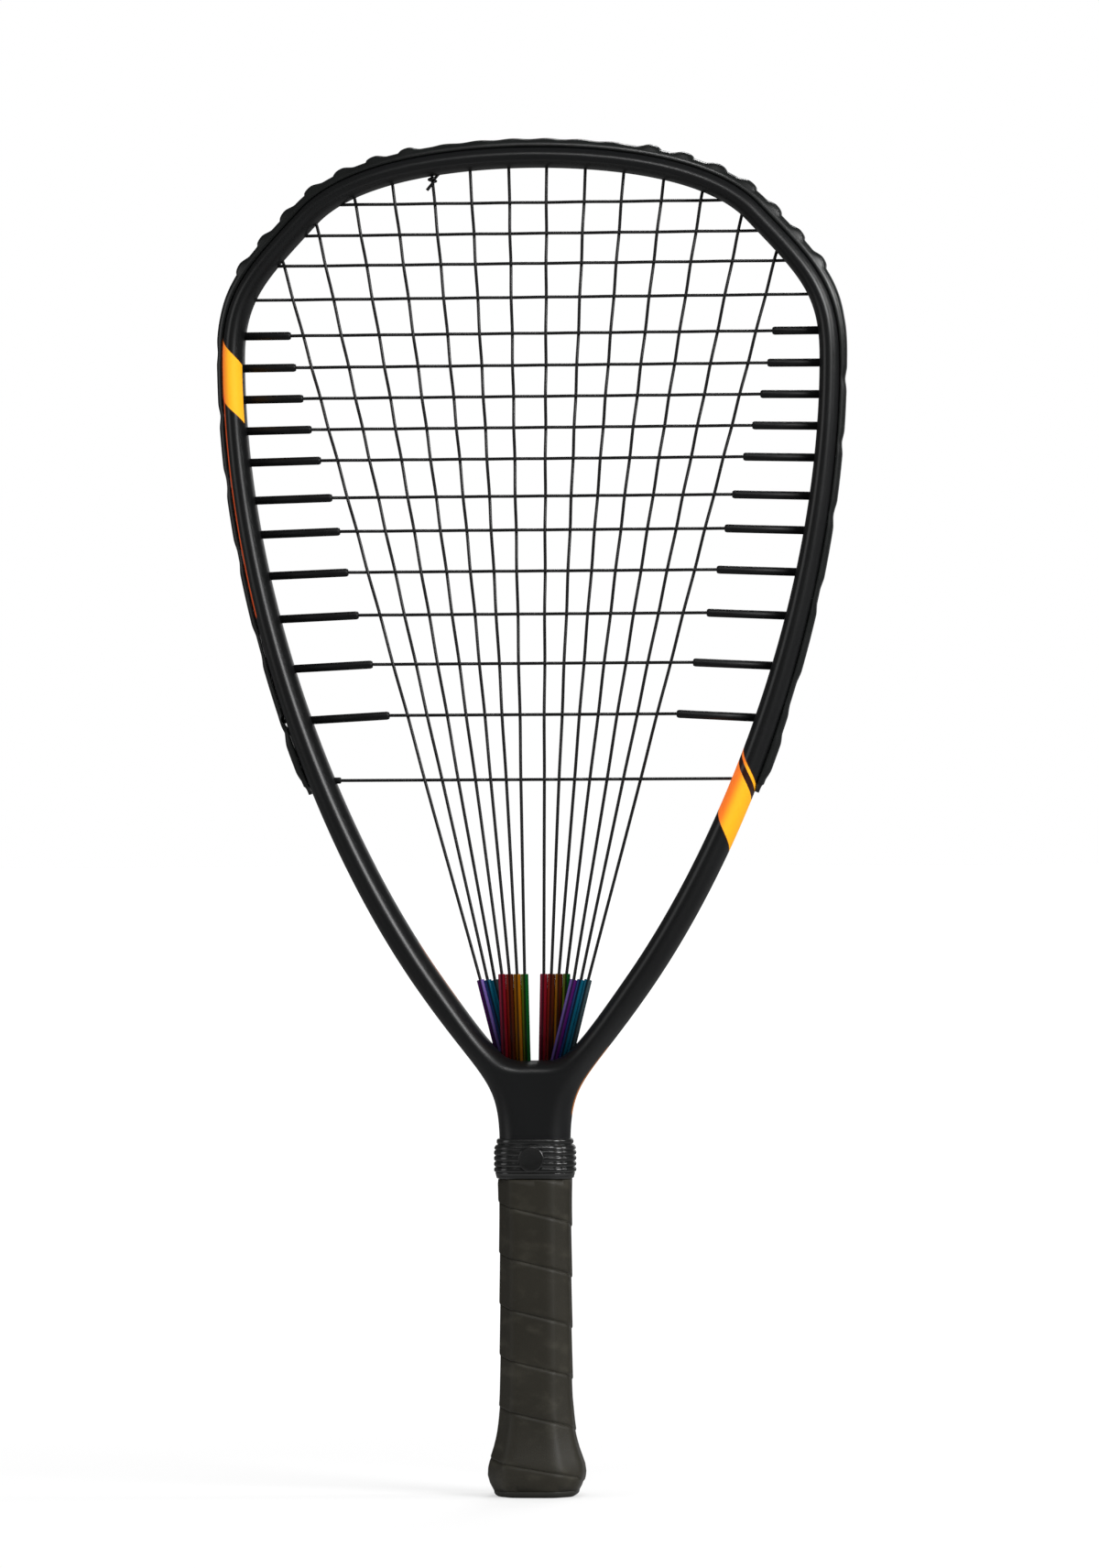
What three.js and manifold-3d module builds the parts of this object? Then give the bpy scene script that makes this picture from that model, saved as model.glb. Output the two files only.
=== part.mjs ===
// A racquetball racket standing on its butt: X across the face, the front towards -Y, Z along the racket.
// The origin is the middle of the butt end. All sizes are in millimetres.

import * as THREE from 'three';
import Module from 'manifold-3d';
import { mergeVertices } from 'three/addons/utils/BufferGeometryUtils.js';

const solids = await Module();
solids.setup();

// The frame. The string opening is HEAD_INSIDE_WIDTH by HEAD_INSIDE_HEIGHT, and its lowest point, the throat
// rim, lies RIM_ABOVE_GRIP over the top of the grip.
const HEAD_INSIDE_WIDTH = 238.8;
const HEAD_INSIDE_HEIGHT = 369.4;
const RIM_ABOVE_GRIP = 46.9;
const HOOP_WIDTH = 8.8;
const HOOP_DEPTH = 20;
const ARM_WIDTH = 12;
const THROAT_DEPTH = 22;
const THROAT_WALL = 6;
const POCKET_DEPTH = 3.5;
const SHAFT_WIDTH = 29.2;
const SHAFT_DEPTH = 21.6;
const SHAFT_RISE = 13;
const SHAFT_EDGE_ROUND = 9;
const CORE_WIDTH = 24.8;
const CORE_DEPTH = 20.6;
const CORE_WALL = 2.6;
const CORE_SHOULDER = 2.5;
const EDGE_POWER = 2.2;

// The strings, and the tubes round them. Side tubes grow longer from row to row down to a longest one; their
// lengths and the growth are shares of half the inside width.
const STRING_DIAMETER = 1.3;
const STRING_GAP = 0.2;
const BORE_CLEARANCE = 0.45;
const TAIL_LENGTH = 9;
const SIDE_TUBE_DIAMETER = 3.4;
const SIDE_TUBE_SHORTEST_SHARE = 0.16;
const SIDE_TUBE_LONGEST_SHARE = 0.277;
const SIDE_TUBE_GROWTH_SHARE = 0.0219;
const SIDE_TUBE_SEAT = 5;
const SIDE_TUBE_TILT = 0.055;
const THROAT_TUBE_DIAMETER = 2.7;
const THROAT_LAYER_OFFSET = 1.55;
const GROMMET_DIAMETER = 2.6;
const GROMMET_REACH = 2.4;

// The knot that ties the cross string's end to a main, near the top.
const TIE_MAIN = 4;
const TIE_SPACING = 3.4;
const TIE_DISTANCE = 3;
const TIE_PITCH = 1.9;
const TIE_TURNS = 1.5;

// The bumper guard: how far it stands off the frame, and the pads on its shoulders.
const GUARD_RISE_TOP = 3;
const GUARD_RISE_SIDE = 1.7;
const GUARD_RISE_LOOP = 2.85;
const GUARD_RISE_END = 3.3;
const GUARD_EDGE = 0.9;
const GUARD_DEPTH_TOP = 12;
const GUARD_DEPTH_SIDE = 8.4;
const GUARD_END_LIFT = 1.2;
const GUARD_RAMP = 3;
const PADS_PER_SIDE = 7;
const PAD_START = 49;
const PAD_PITCH = 14;
const PAD_LENGTH = 11;
const PAD_RISE = 1.5;
const TONGUE_LENGTH = 4;

// The handle.
const COLLAR_SIDE_WALL = 2.3;
const COLLAR_FRONT_WALL = 2.7;
const COLLAR_HEIGHT = 16.4;
const COLLAR_RIBS = 6;
const COLLAR_RIB_PITCH = 2.33;
const COLLAR_GROOVE = 0.8;
const BOSS_DIAMETER = 10.6;
const BOSS_RISE = 0.9;
const BOSS_SINK = 1.2;
const GRIP_LENGTH = 128;
const GRIP_WIDTH = 28.8;
const GRIP_DEPTH = 25.5;
const GRIP_LAP = 0.4;
const WRAP_PITCH = 21;
const LOWEST_SEAM = 12;
const CAP_HEIGHT = 34;
const CAP_FLOOR = 2;
const CAP_INSET = 1.8;
const CAP_BEVEL = 2.4;
const CORD_HOLE_DIAMETER = 8;

// Touching pieces keep this gap, and those pushed over the shaft a wider one.
const FIT_GAP = 0.3;
const SLEEVE_GAP = 0.45;
const MERGE_DISTANCE = 0.001;

// Knots of the string opening's right half, from the top down: across as a share of half the inside width, up
// as a share of the inside height, heading in degrees, and the handles before and after the knot, both as a
// share of half the inside width.
const OPENING_SHARES = [
  [0, 1, 0, 0, 0.172],
  [0.746, 0.94, -46.5, 0.23, 0.275],
  [1, 0.788, -90, 0.208, 0.758],
  [0.322, 0.1015, -125, 0.631, 0.379],
  [0, 0, -180, 0.102, 0],
];

// Heights of the crosses from the top down, as shares of the inside height. Those from the fifth to the last
// but one have side tubes.
const CROSS_SHARES = [
  0.9613, 0.9246, 0.8879, 0.8512, 0.8155, 0.7799, 0.7452, 0.7105, 0.6758, 0.634, 0.5963, 0.5505, 0.5026,
  0.4475, 0.3904, 0.318,
];
const FIRST_TUBE_ROW = 4;
const LAST_TUBE_ROW = CROSS_SHARES.length - 2;

// Where a side's mains, from the middle out, pass the second cross, as shares of half the inside width.
const FAN_SHARES = [0.063, 0.189, 0.315, 0.448, 0.582, 0.729, 0.88];

// At the throat the four inner mains of a side run in one layer and the three outer ones in the other. For
// each layer: the first main's place at the tubes' tops, the step there, its place at the rim, the step
// there, and the height of the tubes' tops over the rim.
const INNER_FAN = { count: 4, top: 3.8, topStep: 3.15, foot: 3, footStep: 3, rise: 37.5 };
const OUTER_FAN = { count: 3, top: 16.6, topStep: 3, foot: 8.6, footStep: 3, rise: 35.1 };
const FOOT_HEIGHT = 3;

// Half the grip's width from its lower to its upper end, as [share of its length, share of half its width].
const GRIP_SHARES = [
  [0, 1.2], [0.015, 1.27], [0.05, 1.36], [0.085, 1.335], [0.12, 1.23], [0.155, 1.145], [0.195, 1.08],
  [0.26, 1.03], [0.36, 1], [0.85, 1], [1, 1.035],
];

// The octagon of the grip: how far its front and side flats reach, as shares of half its width and half its
// depth, and how much of each edge its rounded corners take.
const FRONT_FLAT_SHARE = 0.565;
const SIDE_FLAT_SHARE = 0.45;
const CORNER_SHARE = 0.15;

// How finely the pieces are faceted.
const LINE_STEPS = 48;
const HOOP_STEPS = [7, 8, 14];
const RIM_STEPS = 8;
const THROAT_STEPS = 6;
const FRAME_COLUMNS = 7;
const HOLE_SIDES = 6;
const STRING_SIDES = 4;
const TUBE_SIDES = 6;
const TIE_STEPS = 8;
const WALL_STEP = 8;
const WRAP_ROWS = 4;
const CAP_ROWS = 7;
const ROUND_SIDES = 16;
const CORNER_POINTS = 5;

// Worked out from the sizes above.
const HALF_WIDTH = HEAD_INSIDE_WIDTH / 2;
const STRING_RADIUS = STRING_DIAMETER / 2;
const BORE_RADIUS = STRING_RADIUS + BORE_CLEARANCE;
const WEAVE_RISE = STRING_RADIUS + STRING_GAP;
const LOOP_RISE = STRING_RADIUS + FIT_GAP;
const LOOP_OFFSET = STRING_RADIUS + STRING_GAP;
const KINK_DISTANCE = STRING_RADIUS;
const CORNER_REACH = 1.1 * BORE_RADIUS;
const HOLE_OVERRUN = 2 * BORE_RADIUS;
const GUARD_CHANNEL = LOOP_RISE + STRING_RADIUS + FIT_GAP;
const CHANNEL_HALF_DEPTH = LOOP_OFFSET + STRING_RADIUS + FIT_GAP;
const GRIP_BOTTOM = CAP_FLOOR + 2 * FIT_GAP;
const GRIP_TOP = GRIP_BOTTOM + GRIP_LENGTH;
const SHAFT_TOP = GRIP_TOP + SHAFT_RISE;
const RIM_HEIGHT = GRIP_TOP + RIM_ABOVE_GRIP;
const POCKET_FLOOR = RIM_HEIGHT - POCKET_DEPTH;
const CHAMBER_ROOF = POCKET_FLOOR - THROAT_WALL;
const COLLAR_WIDTH = SHAFT_WIDTH + 2 * COLLAR_SIDE_WALL;
const COLLAR_DEPTH = SHAFT_DEPTH + 2 * COLLAR_FRONT_WALL;
const COLLAR_BOTTOM = GRIP_TOP + FIT_GAP;
const CORE_TOP = COLLAR_BOTTOM + FIT_GAP;
const CORE_BOTTOM = CAP_FLOOR + FIT_GAP;

const radians = THREE.MathUtils.degToRad;
const mix = THREE.MathUtils.lerp;
const smooth = THREE.MathUtils.smoothstep;
const inSpace = (point, y = 0) => new THREE.Vector3(point.x, y, point.y);

// Geometry helpers

/** A copy with shared vertices, no empty triangles, and its faces turned outwards. */
function closed(geometry) {
  const bare = geometry.clone();
  bare.deleteAttribute('normal');
  bare.deleteAttribute('uv');
  const merged = mergeVertices(bare, MERGE_DISTANCE);
  const place = merged.getAttribute('position');
  const index = merged.getIndex().array;
  const kept = [];
  let volume = 0;
  for (let i = 0; i < index.length; i += 3) {
    const triangle = [index[i], index[i + 1], index[i + 2]];
    if (new Set(triangle).size < 3) continue;
    kept.push(triangle);
    const [a, b, c] = triangle.map((vertex) => new THREE.Vector3().fromBufferAttribute(place, vertex));
    volume += a.dot(b.cross(c));
  }
  merged.setIndex(kept.flatMap(([a, b, c]) => (volume < 0 ? [a, c, b] : [a, b, c])));
  return merged;
}

/** A closed geometry from a flat list of coordinates and an index. */
function meshOf(positions, index) {
  const geometry = new THREE.BufferGeometry();
  geometry.setAttribute('position', new THREE.Float32BufferAttribute(positions, 3));
  geometry.setIndex(index);
  return closed(geometry);
}

/** A closed skin over rings of equal length: fanned shut at both ends, or with its last ring joined on. */
function skin(rings, joined = false) {
  const count = rings[0].length;
  const index = [];
  const bands = joined ? rings.length : rings.length - 1;
  for (let r = 0; r < bands; r++) {
    const [low, high] = [r * count, ((r + 1) % rings.length) * count];
    for (let k = 0; k < count; k++) {
      const next = (k + 1) % count;
      index.push(low + k, low + next, high + next, low + k, high + next, high + k);
    }
  }
  const last = bands * count;
  for (let k = 1; k + 1 < count && !joined; k++) {
    index.push(0, k + 1, k, last, last + k, last + k + 1);
  }
  return meshOf(rings.flat().flatMap((point) => point.toArray()), index);
}

/** A geometry as a solid that can be cut and joined. */
function solidOf(geometry) {
  const merged = closed(geometry);
  return new solids.Manifold(new solids.Mesh({
    numProp: 3,
    vertProperties: new Float32Array(merged.getAttribute('position').array),
    triVerts: new Uint32Array(merged.getIndex().array),
  }));
}

/** A solid as a geometry. */
function geometryOf(solid) {
  const mesh = solid.getMesh();
  const geometry = new THREE.BufferGeometry();
  geometry.setAttribute('position', new THREE.Float32BufferAttribute(mesh.vertProperties, 3));
  geometry.setIndex([...mesh.triVerts]);
  return geometry;
}

/** A geometry less some others. */
function cut(geometry, cutters) {
  return geometryOf(solidOf(geometry).subtract(solids.Manifold.union(cutters.map(solidOf))));
}

/** A solid of revolution through [radius, distance] points, from a start point along a direction. */
function turned(profile, sides, start, direction) {
  const points = profile.map(([radius, distance]) => new THREE.Vector2(radius, distance));
  const turn = new THREE.Quaternion().setFromUnitVectors(new THREE.Vector3(0, 1, 0), direction);
  return new THREE.LatheGeometry(points, sides).applyQuaternion(turn).translate(...start.toArray());
}

/** A tube between two points, open along its axis. */
function sleeve(from, to, outerRadius, innerRadius) {
  const direction = to.clone().sub(from);
  const length = direction.length();
  const profile = [
    [innerRadius, 0], [outerRadius, 0], [outerRadius, length], [innerRadius, length], [innerRadius, 0],
  ];
  return closed(turned(profile, TUBE_SIDES, from, direction.normalize()));
}

/** A round string along corner points: rings across the path, carried along without twist. */
function cord(points) {
  let across = new THREE.Vector3(0, 1, 0);
  return skin(points.map((point, i) => {
    const before = point.clone().sub(points[Math.max(i - 1, 0)]).normalize();
    const after = points[Math.min(i + 1, points.length - 1)].clone().sub(point).normalize();
    const along = before.add(after).normalize();
    across = across.clone().addScaledVector(along, -across.dot(along)).normalize();
    const third = along.clone().cross(across);
    return Array.from({ length: STRING_SIDES }, (_, k) => {
      const angle = (k / STRING_SIDES) * 2 * Math.PI;
      return point.clone()
        .addScaledVector(across, STRING_RADIUS * Math.cos(angle))
        .addScaledVector(third, STRING_RADIUS * Math.sin(angle));
    });
  }));
}

// The frame's outlines in the plane of the strings, as points (x, z)

/** The cubic curves between knots with a place, a heading and a handle before and after. */
function curvesThrough(knots) {
  const handle = (knot, length) =>
    new THREE.Vector2(Math.cos(knot.heading), Math.sin(knot.heading)).multiplyScalar(length).add(knot.place);
  return knots.slice(1).map((to, i) => {
    const from = knots[i];
    return new THREE.CubicBezierCurve(from.place, handle(from, from.after), handle(to, -to.before), to.place);
  });
}

const openingKnots = OPENING_SHARES.map(([across, up, heading, before, after]) => ({
  place: new THREE.Vector2(across * HALF_WIDTH, RIM_HEIGHT + up * HEAD_INSIDE_HEIGHT),
  heading: radians(heading),
  before: before * HALF_WIDTH,
  after: after * HALF_WIDTH,
}));
const openingCurves = curvesThrough(openingKnots);
const rimCurve = openingCurves.at(-1);
const hoopCurves = openingCurves.slice(0, -1);
const [widest, armKnot] = openingKnots.slice(2, 4).map((knot) => knot.place);

/** How far the hoop has turned into the arm at a height: 0 at the widest point, 1 at the arm's knot. */
const armShare = (height) => smooth(widest.y - height, 0, widest.y - armKnot.y);

/** The hoop's width across, in the plane of the strings, at a height. */
const hoopWidth = (height) => mix(HOOP_WIDTH, ARM_WIDTH, armShare(height));

/** The hoop's depth at a height. */
const hoopDepth = (height) => mix(HOOP_DEPTH, THROAT_DEPTH, armShare(height));

/** A point of the opening and the point of the outer wall square across from it. */
function acrossHoop(curve, share) {
  const inner = curve.getPoint(share);
  const heading = curve.getTangent(share);
  const outer = new THREE.Vector2(-heading.y, heading.x).multiplyScalar(hoopWidth(inner.y)).add(inner);
  return { inner, outer };
}

const [throatSide] = curvesThrough([
  { place: acrossHoop(hoopCurves.at(-1), 1).outer, heading: openingKnots[3].heading, after: 4 * ARM_WIDTH },
  { place: new THREE.Vector2(SHAFT_WIDTH / 2, SHAFT_TOP), heading: radians(-90), before: 2.4 * ARM_WIDTH },
]);

/** Points of the right half of the outer wall, from the top down to the shaft. */
const outerLine = hoopCurves.flatMap((curve) =>
  Array.from({ length: LINE_STEPS }, (_, i) => acrossHoop(curve, i / LINE_STEPS).outer))
  .concat(throatSide.getPoints(LINE_STEPS));
const openingLine = openingCurves.flatMap((curve, i) => curve.getPoints(LINE_STEPS).slice(i === 0 ? 0 : 1));

/** The distance along the outer wall from the top, at each of its points. */
const outerArcs = outerLine.reduce((arcs, point, i) =>
  [...arcs, i === 0 ? 0 : arcs[i - 1] + point.distanceTo(outerLine[i - 1])], []);

/** The least distance from a point to a line of points. */
function distanceToLine(point, line) {
  return line.slice(1).reduce((least, end, i) => {
    const run = end.clone().sub(line[i]);
    const share = THREE.MathUtils.clamp(point.clone().sub(line[i]).dot(run) / run.lengthSq(), 0, 1);
    return Math.min(least, point.distanceTo(line[i].clone().addScaledVector(run, share)));
  }, Infinity);
}

/** The outer wall at a distance along it from the top, negative on the left: place and outward direction. */
function wallAt(arc) {
  const side = arc < 0 ? -1 : 1;
  const i = outerArcs.findIndex((value) => value > Math.abs(arc));
  const share = (Math.abs(arc) - outerArcs[i - 1]) / (outerArcs[i] - outerArcs[i - 1]);
  const place = outerLine[i - 1].clone().lerp(outerLine[i], share);
  const onward = outerLine[i].clone().sub(outerLine[i - 1]).normalize();
  return {
    place: new THREE.Vector2(side * place.x, place.y),
    outward: new THREE.Vector2(-side * onward.y, onward.x),
  };
}

/** Where a ray first meets a line of points, mirrored to the ray's side: the place, and how far along. */
function meet(origin, direction, line) {
  const side = Math.sign(direction.x || origin.x) || 1;
  let best = null;
  for (let i = 1; i < line.length; i++) {
    const start = new THREE.Vector2(side * line[i - 1].x, line[i - 1].y);
    const run = new THREE.Vector2(side * line[i].x, line[i].y).sub(start);
    const turn = direction.cross(run);
    const reach = start.clone().sub(origin);
    const distance = reach.cross(run) / turn;
    const share = reach.cross(direction) / turn;
    if (distance > 0 && share >= 0 && share <= 1 && !(best?.distance < distance)) {
      best = { distance, side, i, share, place: start.addScaledVector(run, share) };
    }
  }
  return best;
}

/** The distance along the outer wall at which a ray meets it, negative on the left. */
function wallArc({ side, i, share }) {
  return side * mix(outerArcs[i - 1], outerArcs[i], share);
}

// The body of the frame

/** How full the frame's depth is at a distance in from an edge: 0 at the edge, 1 past the rounding. */
function fullness(distance, rounding) {
  const out = 1 - Math.min(distance / rounding, 1);
  return (1 - out ** EDGE_POWER) ** (1 / EDGE_POWER);
}

/** Rows across the right half of the frame, from the top of the hoop to the foot of the core. */
function frameRows() {
  const rows = [];
  const addRow = (inner, outer, depth, outerRound, innerRound = ARM_WIDTH / 2) =>
    rows.push({ inner, outer, depth, outerRound, innerRound });
  hoopCurves.forEach((curve, c) => {
    for (let i = 0; i < HOOP_STEPS[c]; i++) {
      const { inner, outer } = acrossHoop(curve, i / HOOP_STEPS[c]);
      const rounding = hoopWidth(inner.y) / 2;
      addRow(inner, outer, hoopDepth(inner.y), rounding, rounding);
    }
  });
  const rimShare = 0.5;
  for (let i = 0; i <= RIM_STEPS; i++) {
    const share = i / RIM_STEPS;
    addRow(rimCurve.getPoint(share), throatSide.getPoint(share * rimShare), THROAT_DEPTH, ARM_WIDTH / 2);
  }
  for (let i = 1; i <= THROAT_STEPS; i++) {
    const share = i / THROAT_STEPS;
    addRow(
      new THREE.Vector2(0, mix(RIM_HEIGHT, SHAFT_TOP, share ** 1.6)),
      throatSide.getPoint(mix(rimShare, 1, share)),
      mix(THROAT_DEPTH, SHAFT_DEPTH, share),
      mix(ARM_WIDTH / 2, SHAFT_EDGE_ROUND, share),
    );
  }
  const handleRows = [
    [SHAFT_WIDTH, SHAFT_DEPTH, CORE_TOP + CORE_SHOULDER],
    [CORE_WIDTH, CORE_DEPTH, CORE_TOP],
    [CORE_WIDTH, CORE_DEPTH, CORE_BOTTOM],
  ];
  for (const [width, depth, height] of handleRows) {
    addRow(new THREE.Vector2(0, height), new THREE.Vector2(width / 2, height), depth, SHAFT_EDGE_ROUND);
  }
  return rows;
}

/** Half the frame's depth at a point of a row: full in the middle and rounded off towards both outlines. */
function frameHalfDepth(row, point) {
  const onShaft = row.outer.y <= SHAFT_TOP;
  const fromOuter = onShaft ? row.outer.x - point.x : distanceToLine(point, outerLine);
  const fromInner = distanceToLine(point, openingLine);
  return (row.depth / 2) * fullness(fromOuter, row.outerRound) * fullness(fromInner, row.innerRound);
}

/** The frame without holes: a pillow over its outlines, made on a quarter and mirrored left and back. */
function frameBody() {
  const rows = frameRows();
  const width = FRAME_COLUMNS + 1;
  const quarter = rows.flatMap((row) => Array.from({ length: width }, (_, k) => {
    const share = (1 - Math.cos((Math.PI * k) / FRAME_COLUMNS)) / 2;
    const point = row.outer.clone().lerp(row.inner, share);
    const onOpening = k === FRAME_COLUMNS && row.inner.y > RIM_HEIGHT - FIT_GAP;
    return [point.x, k === 0 || onOpening ? 0 : frameHalfDepth(row, point), point.y];
  }));
  const positions = [];
  const index = [];
  const addQuad = (a, b, c, d, turn) => index.push(...(turn > 0 ? [a, b, c, a, c, d] : [a, c, b, a, d, c]));
  for (const [side, face] of [[1, 1], [-1, 1], [1, -1], [-1, -1]]) {
    const start = positions.length / 3;
    quarter.forEach(([x, y, z]) => positions.push(side * x, face * y, z));
    for (let a = start; a < start + quarter.length - width; a++) {
      if ((a - start) % width < FRAME_COLUMNS) addQuad(a, a + 1, a + width + 1, a + width, side * face);
    }
  }
  for (const [side, back, front] of [[1, 0, 2], [-1, 1, 3]]) {
    for (let k = 0; k < FRAME_COLUMNS; k++) {
      const [a, b] = [back, front].map((i) => (i + 1) * quarter.length - width + k);
      addQuad(a, a + 1, b + 1, b, side);
    }
  }
  return meshOf(positions, index);
}

// Where the strings run

/** A string's way out through the hoop: along its own direction, or square to the opening. */
function wayThrough(origin, direction, outerY, isSquare) {
  const inside = meet(origin, direction, openingLine);
  const onward = openingLine[inside.i].clone().sub(openingLine[inside.i - 1]).normalize();
  const square = new THREE.Vector2(-inside.side * onward.y, onward.x);
  square.x = inside.side * Math.abs(square.x);
  const straight = direction.clone().normalize();
  const outside = meet(inside.place, isSquare ? square : straight, outerLine);
  const [entry, exit] = [inSpace(inside.place), inSpace(outside.place, outerY)];
  const through = exit.clone().sub(entry).normalize();
  const kink = entry.clone().addScaledVector(through, -KINK_DISTANCE);
  return { entry, exit, through, kink, arc: wallArc(outside) };
}

/** The mains from left to right: their line at the throat and their hole at the top. */
const mains = Array.from({ length: 2 * FAN_SHARES.length }, (_, i) => {
  const half = FAN_SHARES.length;
  const side = i < half ? -1 : 1;
  const rank = i < half ? half - 1 - i : i - half;
  const isInner = rank < INNER_FAN.count;
  const [fan, step] = isInner ? [INNER_FAN, rank] : [OUTER_FAN, rank - INNER_FAN.count];
  const y = (isInner ? side : -side) * THROAT_LAYER_OFFSET;
  const level = new THREE.Vector2(
    side * FAN_SHARES[rank] * HALF_WIDTH, RIM_HEIGHT + CROSS_SHARES[1] * HEAD_INSIDE_HEIGHT,
  );
  const top = new THREE.Vector2(side * (fan.top + step * fan.topStep), RIM_HEIGHT + fan.rise);
  const foot = new THREE.Vector2(side * (fan.foot + step * fan.footStep), RIM_HEIGHT + FOOT_HEIGHT);
  return {
    tubeTop: inSpace(top, y),
    down: inSpace(foot, y).sub(inSpace(top, y)).normalize(),
    slope: (level.x - top.x) / (level.y - top.y),
    hole: wayThrough(top, level.clone().sub(top), -LOOP_OFFSET, true),
  };
});

/** A main's place across the face at a height above its tube. */
const mainAcross = (main, height) => main.tubeTop.x + main.slope * (height - main.tubeTop.z);

/** A point of a main's line in and below its tube, at a height. */
const mainBelow = (main, height) =>
  main.tubeTop.clone().addScaledVector(main.down, (height - main.tubeTop.z) / main.down.z);

/** One end of a cross: its way through the hoop and, where it has a tube, the tube's tip. */
function crossEnd(j, height, side) {
  const [origin, level] = [new THREE.Vector2(0, height), new THREE.Vector2(side, 0)];
  if (j < FIRST_TUBE_ROW) return { hole: wayThrough(origin, level, LOOP_OFFSET, true) };
  if (j > LAST_TUBE_ROW) return { hole: wayThrough(origin, level, 0, false) };
  const row = j - FIRST_TUBE_ROW;
  const share = Math.min(SIDE_TUBE_SHORTEST_SHARE + row * SIDE_TUBE_GROWTH_SHARE, SIDE_TUBE_LONGEST_SHARE);
  const length = share * HALF_WIDTH;
  const tip = new THREE.Vector2(meet(origin, level, openingLine).place.x - side * length, height);
  const tilt = (SIDE_TUBE_TILT * row) / (LAST_TUBE_ROW - FIRST_TUBE_ROW);
  return { tip: inSpace(tip), hole: wayThrough(tip, new THREE.Vector2(side, -tilt), 0, false) };
}

/** The crosses from the top down. */
const crosses = CROSS_SHARES.map((share, j) => {
  const height = RIM_HEIGHT + share * HEAD_INSIDE_HEIGHT;
  return { height, left: crossEnd(j, height, -1), right: crossEnd(j, height, 1) };
});

/** True where a main and a cross meet inside the opening, clear of the hoop and of the tubes. */
function theyMeet(main, cross) {
  const x = mainAcross(main, cross.height);
  const end = x < 0 ? cross.left : cross.right;
  const reach = Math.abs((end.tip ?? end.hole.kink).x);
  return Math.abs(x) < reach && cross.height < main.hole.kink.z;
}

/** How far a main bows to the back where it passes a cross; the cross bows as far to the front. */
const bow = (i, j) => ((i + j) % 2 === 0 ? WEAVE_RISE : -WEAVE_RISE);

/** Points of a string laid along the outer wall between two holes, or up to a free end. */
function alongWall(fromArc, toArc, fromY, toY, endReach = CORNER_REACH) {
  const onward = Math.sign(toArc - fromArc);
  const [start, end] = [fromArc + onward * CORNER_REACH, toArc - onward * endReach];
  const steps = Math.ceil(Math.abs(end - start) / WALL_STEP);
  return Array.from({ length: steps + 1 }, (_, i) => {
    const share = i / steps;
    const wall = wallAt(mix(start, end, share));
    return inSpace(wall.place.addScaledVector(wall.outward, LOOP_RISE), mix(fromY, toY, share));
  });
}

/** Points of a string from just inside the opening, or its tube's tip, to just past the outer wall. */
function wayOut({ hole, tip }) {
  const inside = tip
    ? [tip, hole.entry.clone().addScaledVector(hole.through, SIDE_TUBE_SEAT)]
    : [hole.kink];
  return [...inside, hole.exit.clone().addScaledVector(hole.through, LOOP_RISE / 2)];
}

/** Points of a main from the shaft's hollow up and out through the top of the hoop. */
function mainPoints(main, i) {
  const isEnd = i === 0 || i === mains.length - 1;
  const start = CHAMBER_ROOF - (isEnd ? TAIL_LENGTH : CORNER_REACH);
  const woven = crosses.map((cross, j) => ({ cross, j })).reverse()
    .filter(({ cross }) => theyMeet(main, cross))
    .map(({ cross, j }) => new THREE.Vector3(mainAcross(main, cross.height), bow(i, j), cross.height));
  return [mainBelow(main, start), main.tubeTop, ...woven, ...wayOut(main)];
}

/** Points of the turn under the throat wall from one main to the next. */
function turnInShaft(from, to) {
  const height = CHAMBER_ROOF - CORNER_REACH;
  return [0.25, 0.75].map((share) => {
    const point = mainBelow(from, height).lerp(mainBelow(to, height), share);
    return point.setZ(height - STRING_RADIUS);
  });
}

/** The main string's points: up and down between the throat and the top, with both its ends in the shaft. */
const mainString = mains.flatMap((main, i) => {
  const points = mainPoints(main, i);
  const next = mains[i + 1];
  if (i % 2 === 0) return [...points, ...alongWall(main.hole.arc, next.hole.arc, -LOOP_OFFSET, -LOOP_OFFSET)];
  return [...points.reverse(), ...(next ? turnInShaft(main, next) : [])];
});

const tied = mains[TIE_MAIN];
const tieHole = wayThrough(
  new THREE.Vector2(tied.hole.entry.x + TIE_SPACING, tied.hole.entry.z - HOOP_WIDTH),
  new THREE.Vector2(0, 1), LOOP_OFFSET, true,
);

/** Points of the cross string's end, wound round a main just below the hoop. */
function tiePoints() {
  const steps = TIE_TURNS * TIE_STEPS;
  const radius = STRING_DIAMETER + STRING_GAP;
  const firstMet = crosses.findIndex((cross) => theyMeet(tied, cross));
  const [low, high] = [crosses[firstMet].height, tied.hole.kink.z];
  return Array.from({ length: steps + 1 }, (_, i) => {
    const turns = (i - steps) / TIE_STEPS;
    const height = tied.hole.entry.z - TIE_DISTANCE + turns * TIE_PITCH;
    const angle = turns * 2 * Math.PI;
    return new THREE.Vector3(
      mainAcross(tied, height) + radius * Math.cos(angle),
      mix(bow(TIE_MAIN, firstMet), 0, (height - low) / (high - low)) + radius * Math.sin(angle),
      height,
    );
  });
}

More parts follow.
